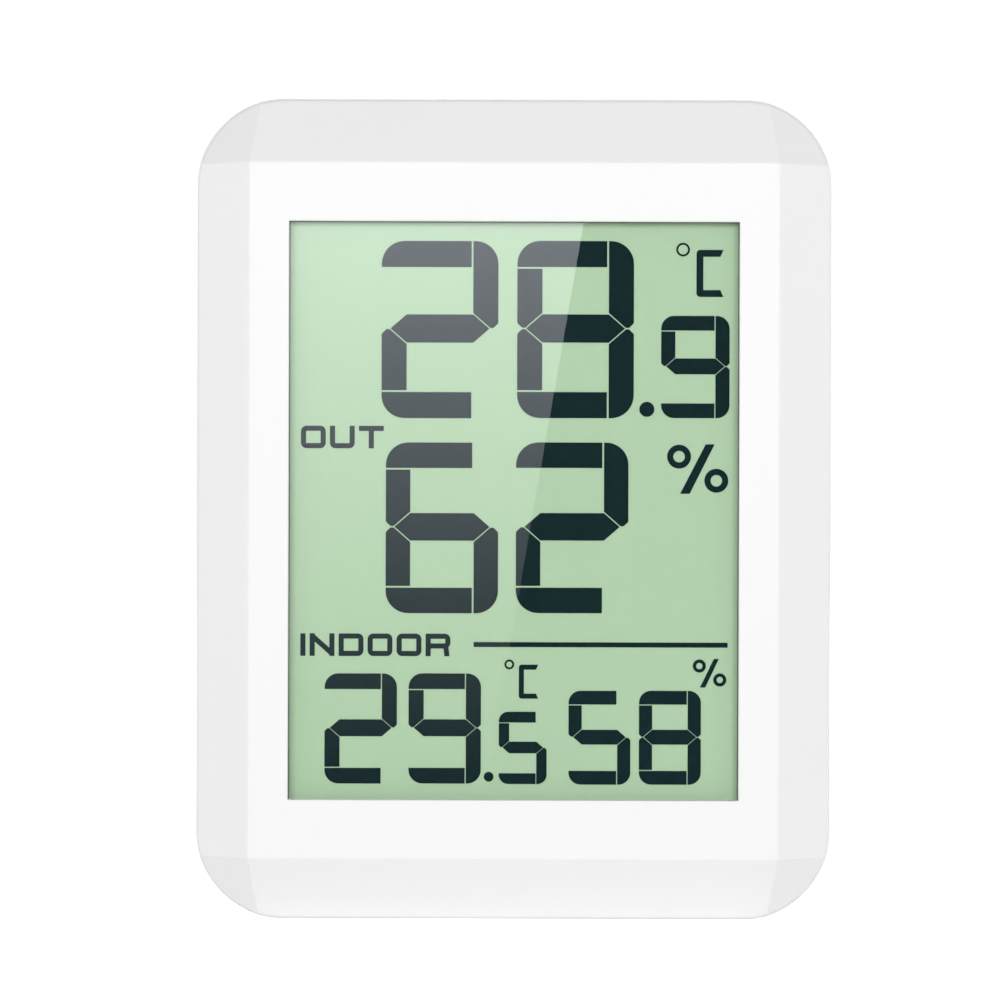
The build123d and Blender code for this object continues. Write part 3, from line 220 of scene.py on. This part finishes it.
window_low, window_high = (Vector(corner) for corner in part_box("display_window"))
opening_low = window_low + Vector((window_overlap, 0, window_overlap))
opening_high = window_high - Vector((window_overlap, 0, window_overlap))
border_y = window_high.y + border_hair_gap
inner_low = Vector((opening_low.x + shade_line_width, border_y, opening_low.z - border_hidden))
inner_high = Vector((opening_high.x - shade_line_width, border_y, opening_high.z - shade_line_width_at_top))
outer_low = Vector((window_low.x, border_y, window_low.z))
outer_high = Vector((window_high.x, border_y, window_high.z))
border_mesh = bmesh.new()
loops = rectangle_loop(border_mesh, inner_low, inner_high)
loops += rectangle_loop(border_mesh, outer_low, outer_high)
bmesh.ops.bridge_loops(border_mesh, edges=loops)
bmesh.ops.recalc_face_normals(border_mesh, faces=border_mesh.faces)
lifted = bmesh.ops.extrude_face_region(border_mesh, geom=border_mesh.faces[:])
bmesh.ops.translate(
    border_mesh,
    verts=[item for item in lifted["geom"] if isinstance(item, bmesh.types.BMVert)],
    vec=(0, border_thickness, 0),
)
bmesh.ops.recalc_face_normals(border_mesh, faces=border_mesh.faces)
# The band's dark colour is that of the shade line at the opening's edge: painted shade.
painted_shade_ink = moulded_plastic(
    "painted_shade_ink",
    colour=(0.11, 0.13, 0.11),
    shade=(0.09, 0.11, 0.09),
    roughness=0.6,
    grain_size=0.0001,
    grain_depth=0.000002,
)
add_piece("window_border_painted_shade", border_mesh, [painted_shade_ink], "case")


# Display cell: two thin glass plates with the dark segments between them, and a green
# light-scattering film behind, whose colour the rear plate takes. The front plate has ground
# edges, and here it stays a hair off the segments that touch it.
segment_hair_gap = 0.00002
ground_edge = 0.00012
glass_low, glass_high = (Vector(corner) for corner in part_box("lcd_front_glass"))
glass_high.y -= segment_hair_gap
glass_mesh = bmesh.new()
bmesh.ops.create_cube(glass_mesh, size=1.0)
bmesh.ops.scale(glass_mesh, verts=glass_mesh.verts, vec=glass_high - glass_low)
bmesh.ops.translate(glass_mesh, verts=glass_mesh.verts, vec=(glass_low + glass_high) / 2)
bmesh.ops.bevel(
    glass_mesh,
    geom=glass_mesh.edges[:],
    affect="EDGES",
    offset=ground_edge,
    segments=1,
    profile=0.5,
    material=-1,
)
cell_glass = clear_sheet("cell_glass", shine=0.006)
front_plate = add_piece("cell_front_plate", glass_mesh, [cell_glass], "case")
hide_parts("lcd_front_glass")


def matt_film(name, colour, shade, grain_size):
    """A film without gloss, with a fine paper-like mottle from shade to colour."""
    material, tree, shader = plain_finish(name)
    shader.inputs["Roughness"].default_value = 0.9
    shader.inputs["Specular IOR Level"].default_value = 0.0
    place = tree.nodes.new("ShaderNodeTexCoord")
    mottle = tree.nodes.new("ShaderNodeTexNoise")
    mottle.inputs["Scale"].default_value = 1 / grain_size
    mottle.inputs["Detail"].default_value = 3
    spread = tree.nodes.new("ShaderNodeMapRange")
    spread.inputs["From Min"].default_value = 0.3
    spread.inputs["From Max"].default_value = 0.7
    tint = blend(tree, shade, colour)
    tree.links.new(place.outputs["Object"], mottle.inputs["Vector"])
    tree.links.new(mottle.outputs["Fac"], spread.inputs["Value"])
    tree.links.new(spread.outputs["Result"], tint.inputs["Factor"])
    tree.links.new(tint.outputs["Result"], shader.inputs["Base Color"])
    return material


segment_dark = matt_film(
    "segment_dark",
    colour=(0.0135, 0.0340, 0.0370),
    shade=(0.0115, 0.0300, 0.0330),
    grain_size=0.0012,
)
dress(segment_dark, "lcd_segments")
field_green = matt_film(
    "field_green",
    colour=(0.586, 0.822, 0.553),
    shade=(0.567, 0.799, 0.534),
    grain_size=0.0011,
)
dress(field_green, "lcd_rear_glass", "lcd_reflector")


# Carrier frame of the cell in grey polycarbonate, and the striped rubber strips that carry the
# current from the board to the glass: carbon-loaded layers between clear ones.
frame_plastic = moulded_plastic(
    "frame_plastic",
    colour=(0.60, 0.61, 0.60),
    shade=(0.56, 0.57, 0.56),
    roughness=0.5,
    grain_size=0.0004,
    grain_depth=0.00001,
)
dress(frame_plastic, "lcd_frame")


def striped_rubber(name):
    """Silicone rubber with fine upright black layers."""
    material, tree, shader = plain_finish(name)
    shader.inputs["Roughness"].default_value = 0.6
    place = tree.nodes.new("ShaderNodeTexCoord")
    layers = tree.nodes.new("ShaderNodeTexWave")
    layers.inputs["Scale"].default_value = 700
    layers.inputs["Distortion"].default_value = 0.2
    tint = blend(tree, (0.02, 0.02, 0.022), (0.45, 0.42, 0.38))
    tree.links.new(place.outputs["Object"], layers.inputs["Vector"])
    tree.links.new(layers.outputs["Fac"], tint.inputs["Factor"])
    tree.links.new(tint.outputs["Result"], shader.inputs["Base Color"])
    return material


dress(striped_rubber("zebra_rubber"), "zebra_strip_upper", "zebra_strip_lower")


# Circuit boards: glass-fibre board under green solder mask. The copper traces show through the
# mask as paler, slightly raised lines.
mask_green = (0.012, 0.13, 0.045)
trace_green = (0.035, 0.25, 0.085)
trace_height = 0.00004


def circuit_board(name):
    """Green solder mask over a net of straight copper traces."""
    material, tree, shader = plain_finish(name)
    shader.inputs["Roughness"].default_value = 0.32
    place = tree.nodes.new("ShaderNodeTexCoord")
    upright = tree.nodes.new("ShaderNodeMapping")
    upright.inputs["Rotation"].default_value = (radians(90), 0, 0)
    traces = tree.nodes.new("ShaderNodeTexBrick")
    traces.inputs["Color1"].default_value = (0, 0, 0, 1)
    traces.inputs["Color2"].default_value = (0, 0, 0, 1)
    traces.inputs["Mortar"].default_value = (1, 1, 1, 1)
    traces.inputs["Scale"].default_value = 130
    traces.inputs["Mortar Size"].default_value = 0.05
    traces.inputs["Brick Width"].default_value = 1.7
    traces.inputs["Row Height"].default_value = 0.31
    tint = blend(tree, mask_green, trace_green)
    bump = tree.nodes.new("ShaderNodeBump")
    bump.inputs["Distance"].default_value = trace_height
    tree.links.new(place.outputs["Object"], upright.inputs["Vector"])
    tree.links.new(upright.outputs["Vector"], traces.inputs["Vector"])
    tree.links.new(traces.outputs["Color"], tint.inputs["Factor"])
    tree.links.new(traces.outputs["Color"], bump.inputs["Height"])
    tree.links.new(tint.outputs["Result"], shader.inputs["Base Color"])
    tree.links.new(bump.outputs["Normal"], shader.inputs["Normal"])
    return material


dress(circuit_board("solder_mask"), "main_board", "radio_board")


# Parts on the boards: the controller under a drop of black resin, with the small chips, the
# thermistor's bead and the switches in the same black, the capacitor in a dark blue sleeve, and
# the humidity sensor in a case of the carrier frame's grey plastic.
black_resin = moulded_plastic(
    "black_resin",
    colour=(0.020, 0.020, 0.021),
    shade=(0.012, 0.012, 0.013),
    roughness=0.35,
    grain_size=0.0012,
    grain_depth=0.00004,
)
dress(black_resin, "controller_chip", "thermistor", "switch_bodies", "chip_components")
capacitor_sleeve = moulded_plastic(
    "capacitor_sleeve",
    colour=(0.03, 0.035, 0.09),
    shade=(0.02, 0.024, 0.07),
    roughness=0.3,
    grain_size=0.002,
    grain_depth=0.00001,
)
dress(capacitor_sleeve, "filter_capacitor")
dress(frame_plastic, "humidity_sensor")


# Metal parts: zinc-plated steel screws, the tinned shield and the crystal's can, and the
# nickel-plated contact plates and springs of the battery bay.
metal_roughness_spread = 0.08
streak_depth = 0.000005


def plated_metal(name, colour, roughness, brush_size):
    """Plated sheet or wire: clean metal with faint drawn streaks."""
    material, tree, shader = plain_finish(name)
    shader.inputs["Base Color"].default_value = (*colour, 1)
    shader.inputs["Metallic"].default_value = 1.0
    place = tree.nodes.new("ShaderNodeTexCoord")
    stretch = tree.nodes.new("ShaderNodeMapping")
    stretch.inputs["Scale"].default_value = (0.15, 1, 1)
    streaks = tree.nodes.new("ShaderNodeTexNoise")
    streaks.inputs["Scale"].default_value = 1 / brush_size
    polish = tree.nodes.new("ShaderNodeMapRange")
    polish.inputs["To Min"].default_value = roughness - metal_roughness_spread
    polish.inputs["To Max"].default_value = roughness + metal_roughness_spread
    bump = tree.nodes.new("ShaderNodeBump")
    bump.inputs["Distance"].default_value = streak_depth
    tree.links.new(place.outputs["Object"], stretch.inputs["Vector"])
    tree.links.new(stretch.outputs["Vector"], streaks.inputs["Vector"])
    tree.links.new(streaks.outputs["Fac"], polish.inputs["Value"])
    tree.links.new(streaks.outputs["Fac"], bump.inputs["Height"])
    tree.links.new(polish.outputs["Result"], shader.inputs["Roughness"])
    tree.links.new(bump.outputs["Normal"], shader.inputs["Normal"])
    return material


zinc_steel = plated_metal("zinc_steel", (0.62, 0.62, 0.60), roughness=0.32, brush_size=0.0006)
dress(zinc_steel, "case_screws", "board_screws", "radio_shield", "clock_crystal")
nickel = plated_metal("nickel", (0.66, 0.64, 0.59), roughness=0.25, brush_size=0.0008)
dress(nickel, "battery_contacts", "battery_springs")


# Leads and the antenna: stranded wire in soft vinyl, red for plus, black for minus and white
# for the antenna.
wire_grain_size = 0.001
wire_grain_depth = 0.00001
red_vinyl = moulded_plastic(
    "red_vinyl",
    colour=(0.55, 0.03, 0.025),
    shade=(0.47, 0.02, 0.02),
    roughness=0.38,
    grain_size=wire_grain_size,
    grain_depth=wire_grain_depth,
)
dress(red_vinyl, "battery_lead_positive")
black_vinyl = moulded_plastic(
    "black_vinyl",
    colour=(0.020, 0.020, 0.022),
    shade=(0.013, 0.013, 0.014),
    roughness=0.38,
    grain_size=wire_grain_size,
    grain_depth=wire_grain_depth,
)
dress(black_vinyl, "battery_lead_negative")
white_vinyl = moulded_plastic(
    "white_vinyl",
    colour=(0.78, 0.77, 0.74),
    shade=(0.72, 0.71, 0.68),
    roughness=0.4,
    grain_size=wire_grain_size,
    grain_depth=wire_grain_depth,
)
dress(white_vinyl, "antenna_wire")


# Push buttons: grey ABS caps, a little glossier than the case, that press on the black acetal
# plungers of the switches on the board.
button_plastic = moulded_plastic(
    "button_plastic",
    colour=(0.50, 0.51, 0.52),
    shade=(0.46, 0.47, 0.48),
    roughness=0.36,
    grain_size=0.0004,
    grain_depth=0.000006,
)
dress(button_plastic, "button_left", "button_middle", "button_right")
plunger_plastic = moulded_plastic(
    "plunger_plastic",
    colour=(0.03, 0.03, 0.032),
    shade=(0.02, 0.02, 0.022),
    roughness=0.4,
    grain_size=0.0005,
    grain_depth=0.000005,
)
dress(plunger_plastic, "switch_plunger_left", "switch_plunger_middle", "switch_plunger_right")


# Cells: steel cans in a printed shrink sleeve, folded over at both ends, with a pressed steel
# cap and a paper washer at the plus end. Each is turned from its profile round its own axis.
cell_length = 0.0445
cell_radius = 0.00525
sleeve_plus_end = 0.0437
cap_foot_radius = 0.0021
sleeve_from_radius = 0.0043
turn_steps = 72
merge_distance = 0.000001
sharp_angle = radians(35)

# Each point of the profile is a place along the cell and a radius. The fold is given from the
# end of the sleeve inwards.
minus_plate = ((0.0000, 0.0000), (0.0000, 0.0034), (0.0003, 0.0037))
sleeve_fold = (
    (0.0003, 0.0042),
    (0.0001, 0.0044),
    (0.0000, 0.0047),
    (0.0001, 0.0050),
    (0.0004, 0.0052),
    (0.0008, cell_radius),
)
plus_fold = [(sleeve_plus_end - depth, radius) for depth, radius in reversed(sleeve_fold)]
plus_cap = (
    (0.0434, 0.0026),
    (0.0435, cap_foot_radius),
    (0.0438, 0.0019),
    (0.0443, 0.0019),
    (cell_length, 0.0017),
    (cell_length, 0.0000),
)
cell_profile = (*minus_plate, *sleeve_fold, *plus_fold, *plus_cap)

sleeve_teal = (0.02, 0.13, 0.15, 1)
sleeve_line = (0.72, 0.72, 0.70, 1)
sleeve_silver = (0.55, 0.56, 0.57, 1)
line_from_share = 0.73
silver_from_share = 0.76
mark_from_end = 0.0060
mark_reach = 0.0016
mark_half_line = 0.0003
mark_white = (0.80, 0.80, 0.78, 1)
mark_dark = (0.03, 0.09, 0.10, 1)


def within(tree, value, middle, reach):
    """One where value lies within reach of middle, and zero elsewhere."""
    test = tree.nodes.new("ShaderNodeMath")
    test.operation = "COMPARE"
    test.inputs[1].default_value = middle
    test.inputs[2].default_value = reach
    tree.links.new(value, test.inputs[0])
    return test.outputs["Value"]


def joined(tree, operation, first, second):
    """Two masks joined: MINIMUM keeps what both cover, MAXIMUM what either covers."""
    join = tree.nodes.new("ShaderNodeMath")
    join.operation = operation
    tree.links.new(first, join.inputs[0])
    tree.links.new(second, join.inputs[1])
    return join.outputs["Value"]


def printed_mark(tree, split, middle_x, middle_z, plus):
    """Mask of a printed minus sign, or of a plus sign."""
    bar_x = within(tree, split.outputs["X"], middle_x, mark_reach)
    bar_z = within(tree, split.outputs["Z"], middle_z, mark_half_line)
    mark = joined(tree, "MINIMUM", bar_x, bar_z)
    if plus:
        upright_x = within(tree, split.outputs["X"], middle_x, mark_half_line)
        upright_z = within(tree, split.outputs["Z"], middle_z, mark_reach)
        mark = joined(tree, "MAXIMUM", mark, joined(tree, "MINIMUM", upright_x, upright_z))
    return mark


def overprint(tree, colour, mask, under):
    """Lays a colour over what is under it, where the mask is one."""
    layer = tree.nodes.new("ShaderNodeMix")
    layer.data_type = "RGBA"
    layer.inputs["B"].default_value = colour
    tree.links.new(under, layer.inputs["A"])
    tree.links.new(mask, layer.inputs["Factor"])
    return layer.outputs["Result"]


def sleeve_print(name, minus_end_x, plus_end_x, axis_z, way):
    """Shrink sleeve: dark teal with a silver-grey band at the plus end, faintly pearly."""
    material, tree, shader = plain_finish(name)
    shader.inputs["Roughness"].default_value = 0.28
    shader.inputs["Coat Weight"].default_value = 0.3
    shader.inputs["Coat Roughness"].default_value = 0.1
    place = tree.nodes.new("ShaderNodeTexCoord")
    split = tree.nodes.new("ShaderNodeSeparateXYZ")
    along = tree.nodes.new("ShaderNodeMapRange")
    along.inputs["From Min"].default_value = minus_end_x
    along.inputs["From Max"].default_value = plus_end_x
    bands = tree.nodes.new("ShaderNodeValToRGB")
    bands.color_ramp.interpolation = "CONSTANT"
    bands.color_ramp.elements[0].position = 0.0
    bands.color_ramp.elements[0].color = sleeve_teal
    bands.color_ramp.elements[1].position = silver_from_share
    bands.color_ramp.elements[1].color = sleeve_silver
    line = bands.color_ramp.elements.new(line_from_share)
    line.color = sleeve_line
    grain = tree.nodes.new("ShaderNodeTexNoise")
    grain.inputs["Scale"].default_value = 900
    bump = tree.nodes.new("ShaderNodeBump")
    bump.inputs["Distance"].default_value = 0.00001
    tree.links.new(place.outputs["Object"], split.inputs["Vector"])
    tree.links.new(place.outputs["Object"], grain.inputs["Vector"])
    tree.links.new(split.outputs["X"], along.inputs["Value"])
    tree.links.new(along.outputs["Result"], bands.inputs["Fac"])
    minus_mask = printed_mark(tree, split, minus_end_x + way * mark_from_end, axis_z, False)
    plus_mask = printed_mark(tree, split, plus_end_x - way * mark_from_end, axis_z, True)
    with_minus = overprint(tree, mark_white, minus_mask, bands.outputs["Color"])
    with_both = overprint(tree, mark_dark, plus_mask, with_minus)
    tree.links.new(with_both, shader.inputs["Base Color"])
    tree.links.new(grain.outputs["Fac"], bump.inputs["Height"])
    tree.links.new(bump.outputs["Normal"], shader.inputs["Normal"])
    return material


can_steel = plated_metal("can_steel", (0.66, 0.66, 0.65), roughness=0.22, brush_size=0.0004)
washer_paper = moulded_plastic(
    "washer_paper",
    colour=(0.62, 0.60, 0.55),
    shade=(0.55, 0.53, 0.48),
    roughness=0.8,
    grain_size=0.0003,
    grain_depth=0.00002,
)
sleeve_index = 0
can_index = 1
washer_index = 2
for cell_name, way in (("battery_cell_lower", 1), ("battery_cell_upper", -1)):
    cell_low, cell_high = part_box(cell_name)
    axis_y = (cell_low[1] + cell_high[1]) / 2
    axis_z = (cell_low[2] + cell_high[2]) / 2
    minus_end_x = cell_low[0] if way > 0 else cell_high[0]
    plus_end_x = cell_high[0] if way > 0 else cell_low[0]
    cell_mesh = bmesh.new()
    points = [
        cell_mesh.verts.new((minus_end_x + way * along, axis_y, axis_z + radius))
        for along, radius in cell_profile
    ]
    outline = [cell_mesh.edges.new(pair) for pair in zip(points, points[1:])]
    bmesh.ops.spin(
        cell_mesh,
        geom=points + outline,
        cent=(minus_end_x, axis_y, axis_z),
        axis=(1, 0, 0),
        angle=tau,
        steps=turn_steps,
        use_merge=True,
    )
    bmesh.ops.remove_doubles(cell_mesh, verts=cell_mesh.verts, dist=merge_distance)
    bmesh.ops.recalc_face_normals(cell_mesh, faces=cell_mesh.faces)
    for face in cell_mesh.faces:
        middle = face.calc_center_median()
        along = way * (middle.x - minus_end_x)
        radius = (Vector((axis_y, axis_z)) - Vector((middle.y, middle.z))).length
        if radius > sleeve_from_radius:
            face.material_index = sleeve_index
        elif along > cell_length / 2 and radius > cap_foot_radius:
            face.material_index = washer_index
        else:
            face.material_index = can_index
    sleeve = sleeve_print(cell_name + "_print", minus_end_x, plus_end_x, axis_z, way)
    cell_piece = add_piece(
        cell_name + "_detailed",
        cell_mesh,
        [sleeve, can_steel, washer_paper],
        "case",
        smooth=True,
    )
    cell_piece.data.set_sharp_from_angle(angle=sharp_angle)
    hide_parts(cell_name)


# Floor and surroundings: a wide pale table in a bright room. Both show plain white to the eye
# and in gloss, and the table keeps the soft shadow of the case. They light the case less than
# they seem to, so that the lamps shape it.
table_half_width = 6.0
table_grey = (0.8, 0.8, 0.8, 1)
table_glow_seen = 0.86
table_glow_cast = 0.06
room_glow_seen = 1.0
room_glow_cast = 0.235


def lit_for_the_eye(tree, plain, glow):
    """Adds a glow to a plain shader for rays that the eye, gloss or glass sends."""
    path = tree.nodes.new("ShaderNodeLightPath")
    eye_or_gloss = tree.nodes.new("ShaderNodeMath")
    eye_or_gloss.operation = "MAXIMUM"
    or_glass = tree.nodes.new("ShaderNodeMath")
    or_glass.operation = "MAXIMUM"
    choice = tree.nodes.new("ShaderNodeMixShader")
    tree.links.new(path.outputs["Is Camera Ray"], eye_or_gloss.inputs[0])
    tree.links.new(path.outputs["Is Glossy Ray"], eye_or_gloss.inputs[1])
    tree.links.new(eye_or_gloss.outputs["Value"], or_glass.inputs[0])
    tree.links.new(path.outputs["Is Transmission Ray"], or_glass.inputs[1])
    tree.links.new(or_glass.outputs["Value"], choice.inputs["Fac"])
    tree.links.new(plain, choice.inputs[1])
    tree.links.new(glow, choice.inputs[2])
    return choice.outputs["Shader"]


def matt_with_glow(tree, matt, strength):
    """A matt shader with an even white glow added."""
    glow = tree.nodes.new("ShaderNodeEmission")
    glow.inputs["Strength"].default_value = strength
    both = tree.nodes.new("ShaderNodeAddShader")
    tree.links.new(matt.outputs["BSDF"], both.inputs[0])
    tree.links.new(glow.outputs["Emission"], both.inputs[1])
    return both.outputs["Shader"]


def white_room(tree, strength):
    """An even white light from all around."""
    light = tree.nodes.new("ShaderNodeBackground")
    light.inputs["Color"].default_value = (1, 1, 1, 1)
    light.inputs["Strength"].default_value = strength
    return light.outputs["Background"]


table_mesh = bmesh.new()
bmesh.ops.create_grid(table_mesh, x_segments=2, y_segments=2, size=table_half_width)
table = place_mesh("table", table_mesh)
table_white, table_tree, table_output = bare_finish("table_white")
table_matt = table_tree.nodes.new("ShaderNodeBsdfDiffuse")
table_matt.inputs["Color"].default_value = table_grey
table_seen = matt_with_glow(table_tree, table_matt, table_glow_seen)
table_cast = matt_with_glow(table_tree, table_matt, table_glow_cast)
table_surface = lit_for_the_eye(table_tree, table_cast, table_seen)
table_tree.links.new(table_surface, table_output.inputs["Surface"])
table.data.materials.append(table_white)

world = bpy.data.worlds.new("room")
bpy.context.scene.world = world
world.use_nodes = True
room_tree = world.node_tree
room_tree.nodes.clear()
room_output = room_tree.nodes.new("ShaderNodeOutputWorld")
room_cast = white_room(room_tree, room_glow_cast)
room_seen = white_room(room_tree, room_glow_seen)
room_surface = lit_for_the_eye(room_tree, room_cast, room_seen)
room_tree.links.new(room_surface, room_output.inputs["Surface"])


# Lamps: a wide soft box low in front, so that the face is brightest and each sloping border a
# little darker, one behind and above, and a weaker one on either side.
def soft_box(name, place, target, width, height, watts):
    """A flat soft lamp at place, turned to target."""
    lamp_data = bpy.data.lights.new(name, "AREA")
    lamp_data.shape = "RECTANGLE"
    lamp_data.size = width
    lamp_data.size_y = height
    lamp_data.energy = watts
    lamp = bpy.data.objects.new(name, lamp_data)
    lamp.location = place
    lamp.rotation_euler = (Vector(target) - Vector(place)).to_track_quat("-Z", "Y").to_euler()
    bpy.context.scene.collection.objects.link(lamp)


case_middle = (0, 0, 0.063)
soft_box("front_lamp", (0, -2.0, 0.30), case_middle, width=1.2, height=0.5, watts=26.5)
soft_box("back_lamp", (0, 2.0, 1.2), case_middle, width=1.0, height=1.0, watts=18)
soft_box("left_lamp", (-2.2, 0.7, 0.5), case_middle, width=1.0, height=0.8, watts=9)
soft_box("right_lamp", (2.2, 0.7, 0.5), case_middle, width=1.0, height=0.8, watts=12)


# Camera: straight on to the display, 0.8 m away. The picture is 154 mm wide on a plane 6 mm in
# front of the middle of the case, and the case stands a little right of and below the middle
# of the picture.
camera_distance = 0.8
camera_place = Vector((-0.00211, -camera_distance, 0.06440))
camera_roll = -0.0030
picture_width = 0.154
picture_plane_y = -0.006
camera_data = bpy.data.cameras.new("camera")
camera_data.sensor_width = 36
camera_data.lens = camera_data.sensor_width * (camera_distance + picture_plane_y) / picture_width
camera_data.clip_end = 20
camera = bpy.data.objects.new("camera", camera_data)
camera.location = camera_place
camera.rotation_euler = (radians(90), camera_roll, 0)
bpy.context.scene.collection.objects.link(camera)
bpy.context.scene.camera = camera
bpy.context.scene.view_settings.view_transform = "Standard"


# Cards between the camera and the case that only gloss can see: a dark one that keeps the
# window clear of reflections, and a bright one with a slanting edge, fading downwards, that
# lays the pale sheen over the left of the display.
card_distance = 0.25
card_spread = 1 + card_distance / camera_distance
card_half_width = 0.037
card_bottom = 0.015
card_top = 0.110
sheen_lead = 0.001
sheen_edge_bottom_x = -0.00525
sheen_edge_top_x = 0.01110
sheen_colour = (0.93, 0.95, 1.03, 1)
sheen_brightness = 2.7
sheen_falloff = 1.7
sheen_fade_bottom = 0.0160
sheen_fade_top = 0.1070
camera_foot = Vector((camera_place.x, 0, camera_place.z))


def card(name, corners, lead):
    """A flat stage card whose corners are given where the window mirrors them."""
    mesh = bmesh.new()
    points = []
    for x, z in corners:
        mirrored = camera_foot + (Vector((x, 0, z)) - camera_foot) * card_spread
        points.append(mesh.verts.new((mirrored.x, lead - card_distance, mirrored.z)))
    mesh.faces.new(points)
    piece = place_mesh(name, mesh)
    piece.visible_camera = False
    piece.visible_diffuse = False
    piece.visible_shadow = False
    piece.visible_transmission = False
    return piece


def glowing_finish(name, colour):
    """A finish that only glows."""
    material, tree, output = bare_finish(name)
    glow = tree.nodes.new("ShaderNodeEmission")
    glow.inputs["Color"].default_value = colour
    tree.links.new(glow.outputs["Emission"], output.inputs["Surface"])
    return material


def mirrored_height(height):
    """Height on a card of what the window mirrors at a height of its own."""
    return camera_place.z + (height - camera_place.z) * card_spread


dark_corners = (
    (-card_half_width, card_bottom),
    (card_half_width, card_bottom),
    (card_half_width, card_top),
    (-card_half_width, card_top),
)
dark_card = card("dark_card", dark_corners, 0)
dark_card.data.materials.append(glowing_finish("dark_card_black", (0, 0, 0, 1)))

sheen_corners = (
    (-card_half_width, card_bottom),
    (sheen_edge_bottom_x, card_bottom),
    (sheen_edge_top_x, card_top),
    (-card_half_width, card_top),
)
sheen_card = card("sheen_card", sheen_corners, sheen_lead)
sheen_light = glowing_finish("sheen_light", sheen_colour)
sheen_tree = sheen_light.node_tree
sheen_glow = sheen_tree.nodes["Emission"]
sheen_place = sheen_tree.nodes.new("ShaderNodeTexCoord")
sheen_split = sheen_tree.nodes.new("ShaderNodeSeparateXYZ")
sheen_height = sheen_tree.nodes.new("ShaderNodeMapRange")
sheen_height.inputs["From Min"].default_value = mirrored_height(sheen_fade_bottom)
sheen_height.inputs["From Max"].default_value = mirrored_height(sheen_fade_top)
sheen_fade = sheen_tree.nodes.new("ShaderNodeMath")
sheen_fade.operation = "POWER"
sheen_fade.inputs[1].default_value = sheen_falloff
sheen_strength = sheen_tree.nodes.new("ShaderNodeMath")
sheen_strength.operation = "MULTIPLY"
sheen_strength.inputs[1].default_value = sheen_brightness
sheen_tree.links.new(sheen_place.outputs["Object"], sheen_split.inputs["Vector"])
sheen_tree.links.new(sheen_split.outputs["Z"], sheen_height.inputs["Value"])
sheen_tree.links.new(sheen_height.outputs["Result"], sheen_fade.inputs[0])
sheen_tree.links.new(sheen_fade.outputs["Value"], sheen_strength.inputs[0])
sheen_tree.links.new(sheen_strength.outputs["Value"], sheen_glow.inputs["Strength"])
sheen_card.data.materials.append(sheen_light)
